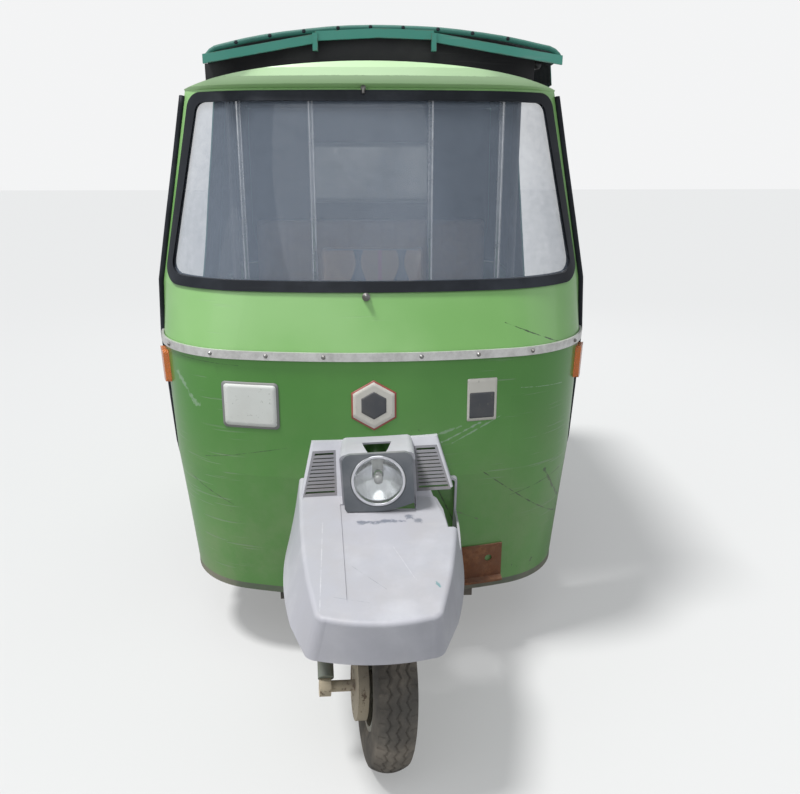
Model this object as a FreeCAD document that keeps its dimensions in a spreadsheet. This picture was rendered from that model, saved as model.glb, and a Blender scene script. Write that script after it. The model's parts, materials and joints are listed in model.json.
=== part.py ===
import FreeCAD, Part
import math
import os

import Sketcher

Vector = FreeCAD.Vector
Rotation = FreeCAD.Rotation

doc = FreeCAD.newDocument("AutoRickshaw")
sheet = doc.addObject("Spreadsheet::Sheet", "Sizes")

# Millimetres. The front faces -Y, +Z is up, and every "ahead" or "behind" is counted from the origin.
SIZES = {
    "tailEnd": 1360,           # bumper's rear face, behind
    "panelWall": 20,           # pressed body panels, with their stiffening
    "seatGap": 0.3,            # between pieces that rest on each other
    "fitGap": 0.3,             # radial, between a pin and its bore
    # Running gear
    "frontAxle": 1100,         # ahead, wheel straight
    "frontAxleHeight": 206.294,
    "rearAxle": 830,           # behind
    "axleHeight": 206,
    "trackHalf": 575,
    "tyreRadius": 206,
    "tyreHalf": 53,
    "shoulderRadius": 192,
    "beadRadius": 102,
    "rimHalf": 44,
    "rimWell": 84,
    "discHalf": 5,
    "hubRadius": 42,
    "hubReach": 46,            # hub's length each way from the wheel's centre
    "axleRadius": 14,
    "drumRadius": 92,
    "drumWidth": 44,
    "drumGap": 6,
    # Steering
    "steerFoot": 970,          # axis at axle height, ahead
    "rake": 30,
    "steerRest": 8.5,
    "columnRadius": 17,
    "headTubeRadius": 27,
    "headTubeLow": 560,
    "headTubeHigh": 800,
    "columnTop": 985,
    "forkCrown": 470,
    "forkOffset": 112,         # fork leg and link, to the side of the wheel
    "legRadius": 19,
    "shoulderDrop": 46,        # leg's shoulder, down the axis from the crown
    "footRise": 26,            # leg's foot above the axle
    "legPivotHalf": 26,
    "linkWide": 28,
    "linkRadius": 13,
    "eyeRadius": 24,
    "frontDrumRadius": 84,
    "frontDrumWide": 26,
    "frontShockRadius": 20,
    "shockDrop": 60,           # shock absorber's top below the crown
    "gripHalf": 250,
    "gripBack": 400,           # grips' ends, ahead
    "gripHeight": 1000,
    "barRadius": 12,
    "gripRadius": 17,
    "gripLong": 110,
    "gripSweep": 30,           # grips' inner ends, ahead of their outer ones
    "gripFall": 6,
    "barNeckHalf": 60,
    "barNeckBack": 16,
    "barNeckRise": 34,
    "clampRadius": 26,
    "clampTall": 34,
    # Floor and chassis
    "floorThick": 20,
    "floorBack": 600,
    "sillWide": 42,
    "sillTall": 62,
    "sillLip": 20,             # above the floor
    "sillRound": 12,
    "railHalf": 270,
    "railWide": 50,
    "railTall": 40,
    "doorBack": 215,           # front of the post between the doorways
    "quarterFront": 560,
    # Rear body
    "quarterBottom": 300,
    "archRadius": 262,
    "cornerStart": 1180,
    "tailFace": 1325,
    "cornerHalf": 515,
    "tailHalf": 400,
    "lidHalf": 320,
    "lidLow": 356,
    "lidHigh": 774,
    "lidGap": 6,
    "plateSpacing": 170,       # the two bolts of the number plate
    "plateHeight": 470,
    "plateHole": 3.3,
    "hingePin": 5,
    "hingeKnuckle": 9,
    "hingeStand": 10,
    "hingeRise": 14,           # pin above the lid's edge
    "earOut": 250,
    "earLong": 60,
    "knuckleOut": 180,
    "knuckleLong": 120,
    "bumperLow": 298,
    "bumperHigh": 344,
    "bumperHalf": 560,
    "bumperStand": 12,
    "bumperFootOut": 390,
    "bumperFootWide": 40,
    "tailLampLow": 600,
    "tailLampTall": 150,
    "tailLampWide": 95,
    "tailLampDeep": 26,
    "tailLampIn": 10,          # from the corner's start
    # Deck, engine and rear suspension
    "deckHeight": 575,
    "deckThick": 15,
    "riserHalf": 500,
    "engineHalf": 180,
    "engineFront": 740,
    "engineBack": 1160,
    "engineLow": 190,
    "hangerTall": 40,
    "hangerHalf": 150,
    "armOut": 492,
    "armWide": 50,
    "armTall": 46,
    "shockBack": 705,
    "shockRadius": 27,
    "shaftRadius": 14,
    # Seats
    "seatBoxHalf": 200,
    "seatBoxFront": 130,       # ahead
    "seatBoxBack": 150,
    "seatBoxTop": 585,
    "seatBoxWall": 18,
    "cushionTop": 690,
    "backrestHalf": 198,
    "backrestLow": 745,
    "backrestHigh": 1170,
    "backrestThick": 48,
    "partitionBack": 200,
    "innerRail": 215,
    "outerRail": 470,
    "partitionTube": 11,
    "benchHalf": 565,
    "benchFront": 612,
    "benchBack": 1060,
    "benchTop": 705,
    "benchRestTop": 1190,
    # Roof
    "canopyFront": 405,
    "canopyWall": 14,
    "curtainWall": 12,
    "curtainStart": 4,         # behind the front of the post between the doorways
    "hoodInset": 15,           # hood's tail, inside the tail panel's outer face
    "valance": 1690,
    "hoodOverBrow": 240,       # ahead of this the hood's sides end above the brow
    "browArchTop": 1738,
    "browArchEnd": 1680,
    "browArchHalf": 530,
    "liningInset": 26,
    "liningThick": 10,
    "frameInset": 50,          # roof frame's corners, inside and below the hood's edge
    "frameDrop": 20,
    "jointProud": 3,           # cast joints of the roof frame, round its tubes
    "chassisFront": 640,
    "crossFront": 530,
    "crossMiddle": 20,
    "railJointRight": 154,
    "railJointLeft": 175,
    "railLift": 6,             # middle bar above its neighbours
    "railDrop": 22,
    "bracketBarWide": 14,
    "windowHalf": 280,
    "windowLow": 1270,
    "windowHigh": 1520,
    "windowRound": 24,
    "windowThick": 4,
    "rearBow": 985,            # last hoop of the roof frame, behind
    "frontBow": 268,           # first hoop of the roof frame, ahead
    "frameTube": 11,
    "postTube": 15,
    "railBarTall": 24,
    "railBarThick": 12,
    # Windscreen
    "gasketWide": 28,
    "gasketProud": 6,
    "glassThick": 5,
    "apertureLow": 1126,
    "apertureHigh": 1662,
    "apertureLowHalf": 626,
    "apertureHighHalf": 540,
    "apertureRound": 46,
    # Trim strip and side lamps
    "stripTall": 24,
    "stripProud": 8,
    "indicatorProud": 16,
    "indicatorFront": 470,     # ahead
    "indicatorLong": 70,
    "indicatorLow": 828,
    "indicatorTall": 100,
    "indicatorRound": 10,
    # Nose
    "noseWall": 6,
    "billTopRear": 600,        # top of the bill, at the cowl
    "billTopFront": 532,
    "billRound": 12,
    "billCorner": 24,
    "dipRearHalf": 103,        # shallow dip down the middle of the bill
    "dipFrontHalf": 76,
    "dipRear": 840,
    "dipFront": 1250,
    "dipDeep": 3,
    "houseTop": 724,           # lamp housing
    "houseLow": 560,
    "houseTopFront": 709,
    "houseLowFront": 822,
    "houseTopHalf": 178,
    "houseLowHalf": 222,
    "houseRound": 8,
    "houseBack": 670,          # runs on inside the cowl, which cuts it off
    "noseTilt": 2.5,           # lamp housing knocked round, its left side up
    "collarHalf": 100,
    "collarTop": 742,
    "collarTopRear": 727,
    "collarFront": 868,
    "collarRound": 16,
    "louvreLow": 597,
    "louvreHigh": 703,
    "louvreInner": 110,
    "louvreLowOuter": 204,
    "louvreHighOuter": 174,
    "louvreRim": 6,
    "slatCount": 10,
    "slatTall": 5.5,
    "bezelHalf": 93,
    "bezelLow": 576,
    "bezelHigh": 746,
    "bezelThick": 12,
    "bezelRound": 24,
    "lampRadius": 73,
    "lampDeep": 60,
    "lampCentre": 668,
    "lampAcross": 6,
    "lampClear": 4,            # radial, between the lamp and its hole in the nose
    "headTubeClear": 1,        # radial, where the nose passes the head tube
    "tearAhead": 960,          # how far ahead the nose is torn
    # Bracket left on the cowl's lower edge
    "bracketLeft": 230,
    "bracketWide": 150,
    "bracketLow": 254,
    "bracketTall": 112,
    "bracketThick": 6,
    "bracketFoot": 34,
    "bracketHole": 11,
}

# The rounded front in plan at each height: how far ahead its middle is, the half width of its middle arc,
# how far that arc falls back, and the half width and place of the edge where the door opening starts.
LEVELS = {
    #        height, front, knee, sag, side, edge
    "foot": (240, 700, 400, 60, 577, 345),
    "belly": (600, 706, 400, 56, 630, 345),
    "waist": (957, 690, 390, 44, 650, 345),
    "sill": (1121, 637, 356, 36, 642, 345),
    "head": (1668, 419, 315, 25, 556, 250),
    "browLow": (1678, 437, 315, 26, 560, 249),
    "browMid": (1698, 448, 315, 27, 562, 247),
    "browHigh": (1720, 442, 313, 26, 556, 245),
    "browTop": (1742, 422, 312, 25, 546, 244),
}
LEVEL_COLUMNS = ("Height", "Front", "Knee", "Sag", "Side", "Edge")

# Cross sections of the roof: place from its front to its tail in per cent, half width and height of its edge,
# crown height, half width at the waist, and how far the front has been knocked to one side.
HOOPS = {
    #        place, edge, edgeHeight, crown, base, askew
    "hoopFront": (0, 502, 1764, 1826, 650, 36),
    "hoopPost": (35.28, 560, 1768, 1852, 650, 14),
    "hoopBench": (61.52, 575, 1765, 1850, 650, 0),
    "hoopBack": (92.42, 572, 1738, 1818, 650, 0),
    "hoopCorner": (97.96, 535, 1725, 1800, 612, 0),
    "hoopTail": (100.6, 455, 1710, 1785, 540, 0),
}
HOOP_COLUMNS = ("Place", "Edge", "EdgeHeight", "Crown", "Base", "Askew")

# The hood's rear corner seen from the side: how far inside its tail, and height.
CORNERS = {
    #        inside, height
    "bendStart": (280, 1838),
    "bendMiddle": (182, 1801),
    "bendEnd": (130, 1705),
}
CORNER_COLUMNS = ("Inside", "Height")

# Plans of the nose's bill at its lower edge and above its top: height, how far it has been knocked to one side,
# half width at the cowl, half width and place ahead where its sides bulge, where they bow in, and at its front
# corners, and how far ahead its middle is.
BILL = {
    #        height, shift, rear, wide, wideAhead, bow, bowAhead, tip, tipAhead, front
    "billSkirt": (430, -8, 236, 238, 950, 198, 1180, 150, 1312, 1335),
    "billShoulder": (620, 11, 228, 190, 950, 150, 1170, 126, 1310, 1330),
}
BILL_COLUMNS = ("Height", "Shift", "Rear", "Wide", "WideAhead", "Bow", "BowAhead", "Tip", "TipAhead", "Front")


def fillSheet():
    rows = dict(SIZES)
    tables = ((LEVELS, LEVEL_COLUMNS), (HOOPS, HOOP_COLUMNS), (CORNERS, CORNER_COLUMNS), (BILL, BILL_COLUMNS))
    for table, columns in tables:
        for name, values in table.items():
            for column, value in zip(columns, values):
                rows[name + column] = value
    for row, (alias, value) in enumerate(rows.items(), start=1):
        sheet.set("A%d" % row, alias)
        sheet.set("B%d" % row, str(value))
        sheet.setAlias("B%d" % row, alias)
    doc.recompute()


fillSheet()


def size(alias):
    return float(sheet.get(alias))


def bound(formula):
    """the formula with each size's name turned into a reference to its cell"""
    words = []
    word = ""
    for letter in str(formula) + " ":
        if letter.isalnum() or letter == "_":
            word += letter
            continue
        isSize = word[:1].isalpha() and word not in ("sin", "cos", "tan", "sqrt", "deg")
        words.append("Sizes." + word if isSize else word)
        words.append(letter)
        word = ""
    return "".join(words).strip()


def number(formula):
    return float(sheet.evalExpression(bound(formula)))


# Parametric pieces

def primitive(kind, name, sizesOf, place, turn=None):
    item = doc.addObject("Part::" + kind, name)
    for prop, formula in sizesOf.items():
        item.setExpression(prop, bound(formula))
    if turn:
        item.Placement = FreeCAD.Placement(Vector(), turn)
    for axis, formula in zip("xyz", place):
        item.setExpression("Placement.Base." + axis, bound(formula))
    return item


def block(name, low, length, width, height):
    return primitive("Box", name, {"Length": length, "Width": width, "Height": height}, low)


ALONG_X = Rotation(Vector(0, 1, 0), 90)
ALONG_Y = Rotation(Vector(1, 0, 0), -90)


def rod(name, start, radius, length, turn=None):
    return primitive("Cylinder", name, {"Radius": radius, "Height": length}, start, turn)


def mirrored(name, source):
    item = doc.addObject("Part::Mirroring", name)
    item.Source = source
    item.Normal = Vector(1, 0, 0)
    return item


def together(name, items):
    item = doc.addObject("Part::Compound", name)
    item.Links = items
    return item


def fused(name, items):
    item = doc.addObject("Part::MultiFuse", name)
    item.Shapes = items
    return item


def cutAway(name, base, tool):
    item = doc.addObject("Part::Cut", name)
    item.Base = base
    item.Tool = tool
    return item


def shaped(name, shape):
    item = doc.addObject("Part::Feature", name)
    item.Shape = shape
    return item


def pin(sketch, geometry, point, x, y):
    """hold a sketch point at its two bound distances from the origin"""
    for kind, formula in (("DistanceX", x), ("DistanceY", y)):
        index = sketch.addConstraint(Sketcher.Constraint(kind, -1, 1, geometry, point, number(formula)))
        sketch.setExpression("Constraints[%d]" % index, bound(formula))


def newSketch(body, name, role):
    sketch = body.newObject("Sketcher::SketchObject", name)
    plane = [feature for feature in body.Origin.OriginFeatures if feature.Role == role][0]
    sketch.AttachmentSupport = (plane, [""])
    sketch.MapMode = "FlatFace"
    return sketch


def addLoop(sketch, steps):
    """a closed loop of corners; a step of four values arrives by an arc through its last two"""
    corners = [Vector(number(step[0]), number(step[1]), 0) for step in steps]
    ends = []
    for index, step in enumerate(steps):
        start, end = corners[index - 1], corners[index]
        if len(step) == 4:
            middle = Vector(number(step[2]), number(step[3]), 0)
            leftward = (middle - start).cross(end - middle).z > 0
            ordered = (start, middle, end) if leftward else (end, middle, start)
            arc = sketch.addGeometry(Part.Arc(*ordered), False)
            mark = sketch.addGeometry(Part.Point(middle), True)
            sketch.addConstraint(Sketcher.Constraint("PointOnObject", mark, 1, arc))
            pin(sketch, mark, 1, step[2], step[3])
            ends.append((arc, 1, 2) if leftward else (arc, 2, 1))
        else:
            ends.append((sketch.addGeometry(Part.LineSegment(start, end), False), 1, 2))
    for index, (geometry, _, last) in enumerate(ends):
        following, first, _ = ends[(index + 1) % len(ends)]
        sketch.addConstraint(Sketcher.Constraint("Coincident", geometry, last, following, first))
        pin(sketch, geometry, last, steps[index][0], steps[index][1])


def addCircle(sketch, x, y, radius):
    centre = Vector(number(x), number(y), 0)
    circle = sketch.addGeometry(Part.Circle(centre, Vector(0, 0, 1), number(radius)), False)
    index = sketch.addConstraint(Sketcher.Constraint("Radius", circle, number(radius)))
    sketch.setExpression("Constraints[%d]" % index, bound(radius))
    pin(sketch, circle, 3, x, y)


def padBody(name, role, loops, length, place=(0, 0, 0), circles=()):
    """a body padded both ways from an origin plane"""
    body = doc.addObject("PartDesign::Body", name)
    sketch = newSketch(body, name + "Outline", role)
    for steps in loops:
        addLoop(sketch, steps)
    for circle in circles:
        addCircle(sketch, *circle)
    pad = body.newObject("PartDesign::Pad", name + "Pad")
    pad.Profile = sketch
    pad.Midplane = True
    pad.setExpression("Length", bound(length))
    for axis, formula in zip("xyz", place):
        body.setExpression("Placement.Base." + axis, bound(formula))
    return body


def turnedBody(name, steps, placement=None):
    """a body revolved about its own X axis; steps are along the axis and out from it"""
    body = doc.addObject("PartDesign::Body", name)
    sketch = newSketch(body, name + "Profile", "XY_Plane")
    addLoop(sketch, steps)
    turned = body.newObject("PartDesign::Revolution", name + "Turn")
    turned.Profile = sketch
    turned.ReferenceAxis = (sketch, ["H_Axis"])
    turned.Angle = 360
    if placement:
        body.Placement = placement
    return body


def edgeAlong(axis):
    def test(edge):
        if edge.Curve.TypeId != "Part::GeomLine":
            return False
        return abs(abs(edge.Curve.Direction.dot(axis)) - 1) < 1e-6
    return test


# Lofted front panels

def level(name):
    return {column: size(name + column) for column in LEVEL_COLUMNS}


def planPoints(plan, inset):
    """ends, knees and arc middles of the rounded front, left to right"""
    bow = (plan["Knee"] ** 2 + plan["Sag"] ** 2) / (2 * plan["Sag"])
    turn = math.asin(plan["Knee"] / bow)
    inward = Vector(-math.sin(turn), math.cos(turn), 0)
    knee = Vector(plan["Knee"], plan["Sag"] - plan["Front"], plan["Height"]) + inward * inset
    end = Vector(plan["Side"] - inset, -plan["Edge"], plan["Height"])
    chord = end - knee
    radius = chord.dot(chord) / (2 * chord.dot(inward))
    centre = knee + inward * radius
    middle = centre + ((knee - centre) + (end - centre)).normalize() * radius
    right = [knee, middle, end]
    left = [Vector(-point.x, point.y, point.z) for point in reversed(right)]
    return left + [Vector(0, inset - plan["Front"], plan["Height"])] + right


def planEdges(points):
    return [Part.Arc(*points[start:start + 3]).toShape() for start in (0, 2, 4)]


def bandWire(plan, outer, inner):
    outside = planPoints(plan, outer)
    inside = planPoints(plan, inner)[::-1]
    edges = planEdges(outside) + [Part.LineSegment(outside[-1], inside[0]).toShape()]
    edges += planEdges(inside) + [Part.LineSegment(inside[-1], outside[0]).toShape()]
    return Part.Wire(edges)


def frontWall(plans, outer, inner):
    return Part.makeLoft([bandWire(plan, outer, inner) for plan in plans], True, True)


def polygonFace(points):
    return Part.Face(Part.makePolygon(list(points) + [points[0]]))


def frontPrism(inset):
    """the windscreen's opening as seen from the front, run right through the front wall"""
    low, high = size("apertureLow") + inset, size("apertureHigh") - inset
    lowHalf, highHalf = size("apertureLowHalf") - inset, size("apertureHighHalf") - inset
    start = -size("bellyFront") - size("panelWall")
    corners = [(-lowHalf, low), (lowHalf, low), (highHalf, high), (-highHalf, high)]
    face = polygonFace([Vector(x, start, z) for x, z in corners])
    prism = face.extrude(Vector(0, -start, 0))
    sides = [edge for edge in prism.Edges if edgeAlong(Vector(0, 1, 0))(edge)]
    return prism.makeFillet(size("apertureRound") - inset / 2, sides)


FOOT, BELLY, WAIST = level("foot"), level("belly"), level("waist")
SILL, HEAD = level("sill"), level("head")
WALL = size("panelWall")
GAP = size("seatGap")


# Steering frame: its axis leans back going up, and the wheel is turned a little at rest.
RAKE = math.radians(size("rake"))
STEER_AXIS = Vector(0, math.sin(RAKE), math.cos(RAKE))
STEER_POINT = Vector(0, -size("steerFoot"), size("axleHeight"))
TURNED = FreeCAD.Placement(Vector(), Rotation(STEER_AXIS, size("steerRest")), STEER_POINT)


def onSteerAxis(height):
    return STEER_POINT + STEER_AXIS * ((height - STEER_POINT.z) / STEER_AXIS.z)


def tube(points, radius, bore=0):
    """straight tubes joined by round knuckles"""
    solids = []
    for start, end in zip(points, points[1:]):
        run = end - start
        solids.append(Part.makeCylinder(radius, run.Length, start, run))
    for point in points[1:-1]:
        solids.append(Part.makeSphere(radius, point))
    whole = solids[0].fuse(solids[1:]) if len(solids) > 1 else solids[0]
    if bore:
        run = points[-1] - points[0]
        whole = whole.cut(Part.makeCylinder(bore, run.Length, points[0], run))
    return whole


def steeringAxisRod(radius, low, high):
    start, end = onSteerAxis(low), onSteerAxis(high)
    return Part.makeCylinder(radius, (end - start).Length, start, STEER_AXIS)


# Front body

def frontCowl():
    shell = frontWall([FOOT, BELLY, WAIST], 0, WALL)
    ring = steeringAxisRod(size("headTubeRadius"), size("headTubeLow"), size("headTubeHigh"))
    bore = steeringAxisRod(size("columnRadius") + size("fitGap"), size("forkCrown"), size("columnTop"))
    return shaped("front_cowl", shell.fuse(ring).cut(bore))


def frontBlock(plans, outer):
    """everything behind the front wall's face, as far back as the door openings"""
    wires = []
    for plan in plans:
        points = planPoints(plan, outer)
        wires.append(Part.Wire(planEdges(points) + [Part.LineSegment(points[-1], points[0]).toShape()]))
    return Part.makeLoft(wires, True, True)


def waistStrip():
    half = size("stripTall") / 2
    plans = [dict(WAIST, Height=WAIST["Height"] + shift) for shift in (-half, half)]
    return shaped("waist_strip", frontWall(plans, -size("stripProud"), -1 * GAP - 0.5))


def browArch():
    """everything above the brow's arched top, seen from the front"""
    half, end, top = size("browArchHalf"), size("browArchEnd"), size("browArchTop")
    rise = top - end
    bow = (half ** 2 + rise ** 2) / (2 * rise)
    disc = Part.makeCylinder(bow, size("bellyFront"), Vector(0, -size("bellyFront"), top - bow), Vector(0, 1, 0))
    above = Part.makeBox(2 * bow, size("bellyFront"), bow, Vector(-bow, -size("bellyFront"), HEAD["Height"]))
    return above.cut(disc)


def windscreenSurround():
    """band under the windscreen, its two pillars and the bulging brow above it, one pressing"""
    frame = frontWall([WAIST, SILL, HEAD], 0, WALL).cut(frontPrism(0))
    brow = frontWall([HEAD] + [level(name) for name in ("browLow", "browMid", "browHigh", "browTop")], 0, WALL)
    return shaped("windscreen_surround", frame.fuse(brow.cut(browArch())).removeSplitter())


def windscreenGasket():
    ring = frontPrism(0).cut(frontPrism(size("gasketWide")))
    return shaped("windscreen_gasket", frontWall([SILL, HEAD], -size("gasketProud"), WALL).common(ring))


def windscreenGlass():
    face = size("gasketProud")
    pane = frontWall([SILL, HEAD], face, face + size("glassThick"))
    return shaped("windscreen_glass", pane.common(frontPrism(size("gasketWide"))))


def sideIndicators():
    """lamps that follow the cowl's sides just ahead of the door openings"""
    tall, long, front = size("indicatorTall"), size("indicatorLong"), size("indicatorFront")
    pane = Part.makeBox(size("waistSide"), long, tall, Vector(size("waistKnee"), -front, size("indicatorLow")))
    corners = [edge for edge in pane.Edges if edgeAlong(Vector(1, 0, 0))(edge)]
    pane = pane.makeFillet(size("indicatorRound"), corners)
    lamp = frontWall([BELLY, WAIST], -size("indicatorProud"), -GAP).common(pane)
    return shaped("side_indicators", Part.makeCompound([lamp, lamp.mirror(Vector(), Vector(1, 0, 0))]))


# Floor and chassis

def floorPan():
    points = planPoints(FOOT, 0)
    half = size("footSide")
    back = size("floorBack")
    rearRight, rearLeft = Vector(half, back, FOOT["Height"]), Vector(-half, back, FOOT["Height"])
    edges = planEdges(points)
    edges.append(Part.LineSegment(points[-1], rearRight).toShape())
    edges.append(Part.LineSegment(rearRight, rearLeft).toShape())
    edges.append(Part.LineSegment(rearLeft, points[0]).toShape())
    slab = shaped("FloorSlab", Part.Face(Part.Wire(edges)).extrude(Vector(0, 0, -size("floorThick"))))
    right = sideSill()
    return fused("floor_pan", [slab, right, mirrored("SillLeft", right)])


def sideSill():
    return padBody("SillRight", "XZ_Plane", [[
        ("footSide - sillWide", "footHeight - sillTall"),
        ("footSide - sillRound", "footHeight - sillTall"),
        ("footSide", "footHeight - sillTall + sillRound",
         "footSide - 0.293 * sillRound", "footHeight - sillTall + 0.293 * sillRound"),
        ("footSide", "footHeight + sillLip - sillRound"),
        ("footSide - sillRound", "footHeight + sillLip",
         "footSide - 0.293 * sillRound", "footHeight + sillLip - 0.293 * sillRound"),
        ("footSide - sillWide", "footHeight + sillLip"),
    ]], "quarterFront + footEdge - 2 * seatGap", (0, "(quarterFront - footEdge) / 2", 0))


def chassisRails():
    length = "floorBack + chassisFront"
    under = "footHeight - floorThick - seatGap - railTall"
    right = block("RailRight", ("railHalf - railWide / 2", "-chassisFront", under), "railWide", length, "railTall")
    bars = [right, mirrored("RailLeft", right)]
    places = {"CrossFront": "-crossFront", "CrossMiddle": "-crossMiddle", "CrossRear": "floorBack - railWide"}
    for name, place in places.items():
        bars.append(block(name, ("-armOut", place, under), "2 * armOut", "railWide", "railTall"))
    right = rearHanger()
    return together("chassis_rails", [fused("ChassisGrid", bars), right, mirrored("HangerLeft", right)])


def rearHanger():
    low = "deckHeight - deckThick - seatGap - hangerTall"
    return block("HangerRight", ("hangerHalf - railWide / 2", "floorBack + deckThick + seatGap", low), "railWide",
                 "tailFace - panelWall - floorBack - deckThick - 2 * seatGap", "hangerTall")


# Rear body

def quarterPanels():
    steps = [
        ("waistSide", "quarterFront"),
        ("waistSide", "cornerStart"),
        ("cornerHalf", "tailFace", "waistSide - 40", "tailFace - 42"),
        ("tailHalf", "tailFace"),
        ("tailHalf", "tailFace - panelWall"),
        ("cornerHalf - 3", "tailFace - panelWall"),
        ("waistSide - panelWall", "cornerStart - 3", "waistSide - 54", "tailFace - 56"),
        ("waistSide - panelWall", "quarterFront"),
    ]
    body = padBody("QuarterLeft", "XY_Plane", [steps], "waistHeight - quarterBottom",
                   (0, 0, "(waistHeight + quarterBottom) / 2"))
    arch = rod("ArchCut", ("cornerHalf", "rearAxle", "axleHeight"), "archRadius", "waistSide", ALONG_X)
    left = cutAway("quarter_panel_left", body, arch)
    return [left, mirrored("quarter_panel_right", left)]


def tailPanel():
    outline = [("-tailHalf + seatGap", "quarterBottom"), ("tailHalf - seatGap", "quarterBottom"),
               ("tailHalf - seatGap", "waistHeight"), ("-tailHalf + seatGap", "waistHeight")]
    hole = [("-lidHalf - lidGap", "lidLow - lidGap"), ("lidHalf + lidGap", "lidLow - lidGap"),
            ("lidHalf + lidGap", "lidHigh + lidGap"), ("-lidHalf - lidGap", "lidHigh + lidGap")]
    body = padBody("TailPanel", "XZ_Plane", [outline, hole], "panelWall", (0, "tailFace - panelWall / 2", 0))
    ears = []
    for name, across in (("EarLeft", "earOut - earLong"), ("EarRight", "-earOut")):
        ear = rod(name, (across, "tailFace + hingeStand", "lidHigh + hingeRise"), "hingeKnuckle", "earLong", ALONG_X)
        foot = block(name + "Foot", (across, "tailFace", "lidHigh + hingeRise"), "earLong", "hingeStand", "hingeKnuckle")
        ears += [ear, foot]
    start = ("-earOut", "tailFace + hingeStand", "lidHigh + hingeRise")
    pinRod = rod("HingePin", start, "hingePin", "2 * earOut", ALONG_X)
    return fused("tail_panel", [body, pinRod] + ears)


def engineLid():
    outline = [("-lidHalf", "lidLow"), ("lidHalf", "lidLow"), ("lidHalf", "lidHigh"), ("-lidHalf", "lidHigh")]
    holes = [(side + "plateSpacing / 2", "plateHeight", "plateHole") for side in ("-", "")]
    body = padBody("LidPlate", "XZ_Plane", [outline], "panelWall", (0, "tailFace - panelWall / 2", 0), holes)
    knuckles = []
    long = "knuckleLong"
    for name, across in (("KnuckleLeft", "knuckleOut - knuckleLong"), ("KnuckleRight", "-knuckleOut")):
        knuckle = rod(name, (across, "tailFace + hingeStand", "lidHigh + hingeRise"), "hingeKnuckle", long, ALONG_X)
        leaf = block(name + "Leaf", (across, "tailFace", "lidHigh - 40"), long, "4", "36")
        strap = block(name + "Strap", (across, "tailFace + hingeStand - 6", "lidHigh - 8"), long, "6", "hingeRise + 8")
        bridge = block(name + "Bridge", (across, "tailFace", "lidHigh - 10"), long, "hingeStand", "6")
        knuckles += [knuckle, leaf, strap, bridge]
    whole = fused("LidWhole", [body] + knuckles)
    start = ("-earOut", "tailFace + hingeStand", "lidHigh + hingeRise")
    bore = rod("LidBore", start, "hingePin + fitGap", "2 * earOut", ALONG_X)
    return cutAway("engine_lid", whole, bore)


def rearBumper():
    bar = padBody("BumperBar", "XY_Plane", [[
        ("-bumperHalf", "tailFace + bumperStand"), ("bumperHalf", "tailFace + bumperStand"),
        ("bumperHalf", "tailEnd - 12"), ("bumperHalf - 14", "tailEnd", "bumperHalf - 4", "tailEnd - 3.5"),
        ("14 - bumperHalf", "tailEnd"), ("-bumperHalf", "tailEnd - 12", "4 - bumperHalf", "tailEnd - 3.5"),
    ]], "bumperHigh - bumperLow", (0, 0, "(bumperHigh + bumperLow) / 2"))
    feet = []
    tall = "bumperHigh - bumperLow - 10"
    for name, across in (("BumperFootLeft", "bumperFootOut - bumperFootWide"), ("BumperFootRight", "-bumperFootOut")):
        corner = (across, "tailFace + seatGap", "bumperLow + 5")
        feet.append(block(name, corner, "bumperFootWide", "bumperStand + 8", tall))
    return fused("rear_bumper", [bar] + feet)


def tailLamps():
    low = ("cornerHalf - tailLampIn - tailLampWide", "tailFace + seatGap", "tailLampLow")
    right = block("LampBlock", low, "tailLampWide", "tailLampDeep", "tailLampTall")
    return together("tail_lamps", [right, mirrored("LampBlockRight", right)])


# Deck, engine and rear suspension

def rearDeck():
    return padBody("rear_deck", "YZ_Plane", [[
        ("floorBack + seatGap", "footHeight"),
        ("floorBack + deckThick", "footHeight"),
        ("floorBack + deckThick", "deckHeight - deckThick"),
        ("tailFace - panelWall - seatGap", "deckHeight - deckThick"),
        ("tailFace - panelWall - seatGap", "deckHeight"),
        ("floorBack + seatGap", "deckHeight"),
    ]], "2 * riserHalf")


def engineBlock():
    """the engine as one plain block, with the two shafts that it drives"""
    high = "deckHeight - deckThick - 2 * seatGap - hangerTall - engineLow"
    engine = block("EngineMass", ("-engineHalf", "engineFront", "engineLow"), "2 * engineHalf",
                   "engineBack - engineFront", high)
    right = rod("ShaftRight", ("engineHalf + seatGap", "rearAxle", "axleHeight"), "shaftRadius",
                "armOut - armWide - engineHalf - 2 * seatGap", ALONG_X)
    return together("engine_block", [engine, right, mirrored("ShaftLeft", right)])


def rearArms():
    low = "axleHeight - armTall / 2"
    beam = block("ArmBeam", ("armOut - armWide", "floorBack + seatGap", low), "armWide",
                 "rearAxle - floorBack + 40", "armTall")
    drum = rod("ArmDrum", ("trackHalf - hubReach - drumGap - drumWidth", "rearAxle", "axleHeight"), "drumRadius",
               "drumWidth", ALONG_X)
    stub = rod("ArmStub", ("armOut - armWide", "rearAxle", "axleHeight"), "axleRadius",
               "trackHalf - armOut + armWide + 30", ALONG_X)
    right = fused("ArmRight", [beam, drum, stub])
    return together("rear_arms", [right, mirrored("ArmLeft", right)])


def rearShocks():
    low = "axleHeight + armTall / 2 + seatGap"
    right = rod("ShockRight", ("armOut - armWide / 2", "shockBack", low), "shockRadius",
                "deckHeight - deckThick - axleHeight - armTall / 2 - 2 * seatGap")
    return together("rear_shocks", [right, mirrored("ShockLeft", right)])


# Seats

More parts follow.
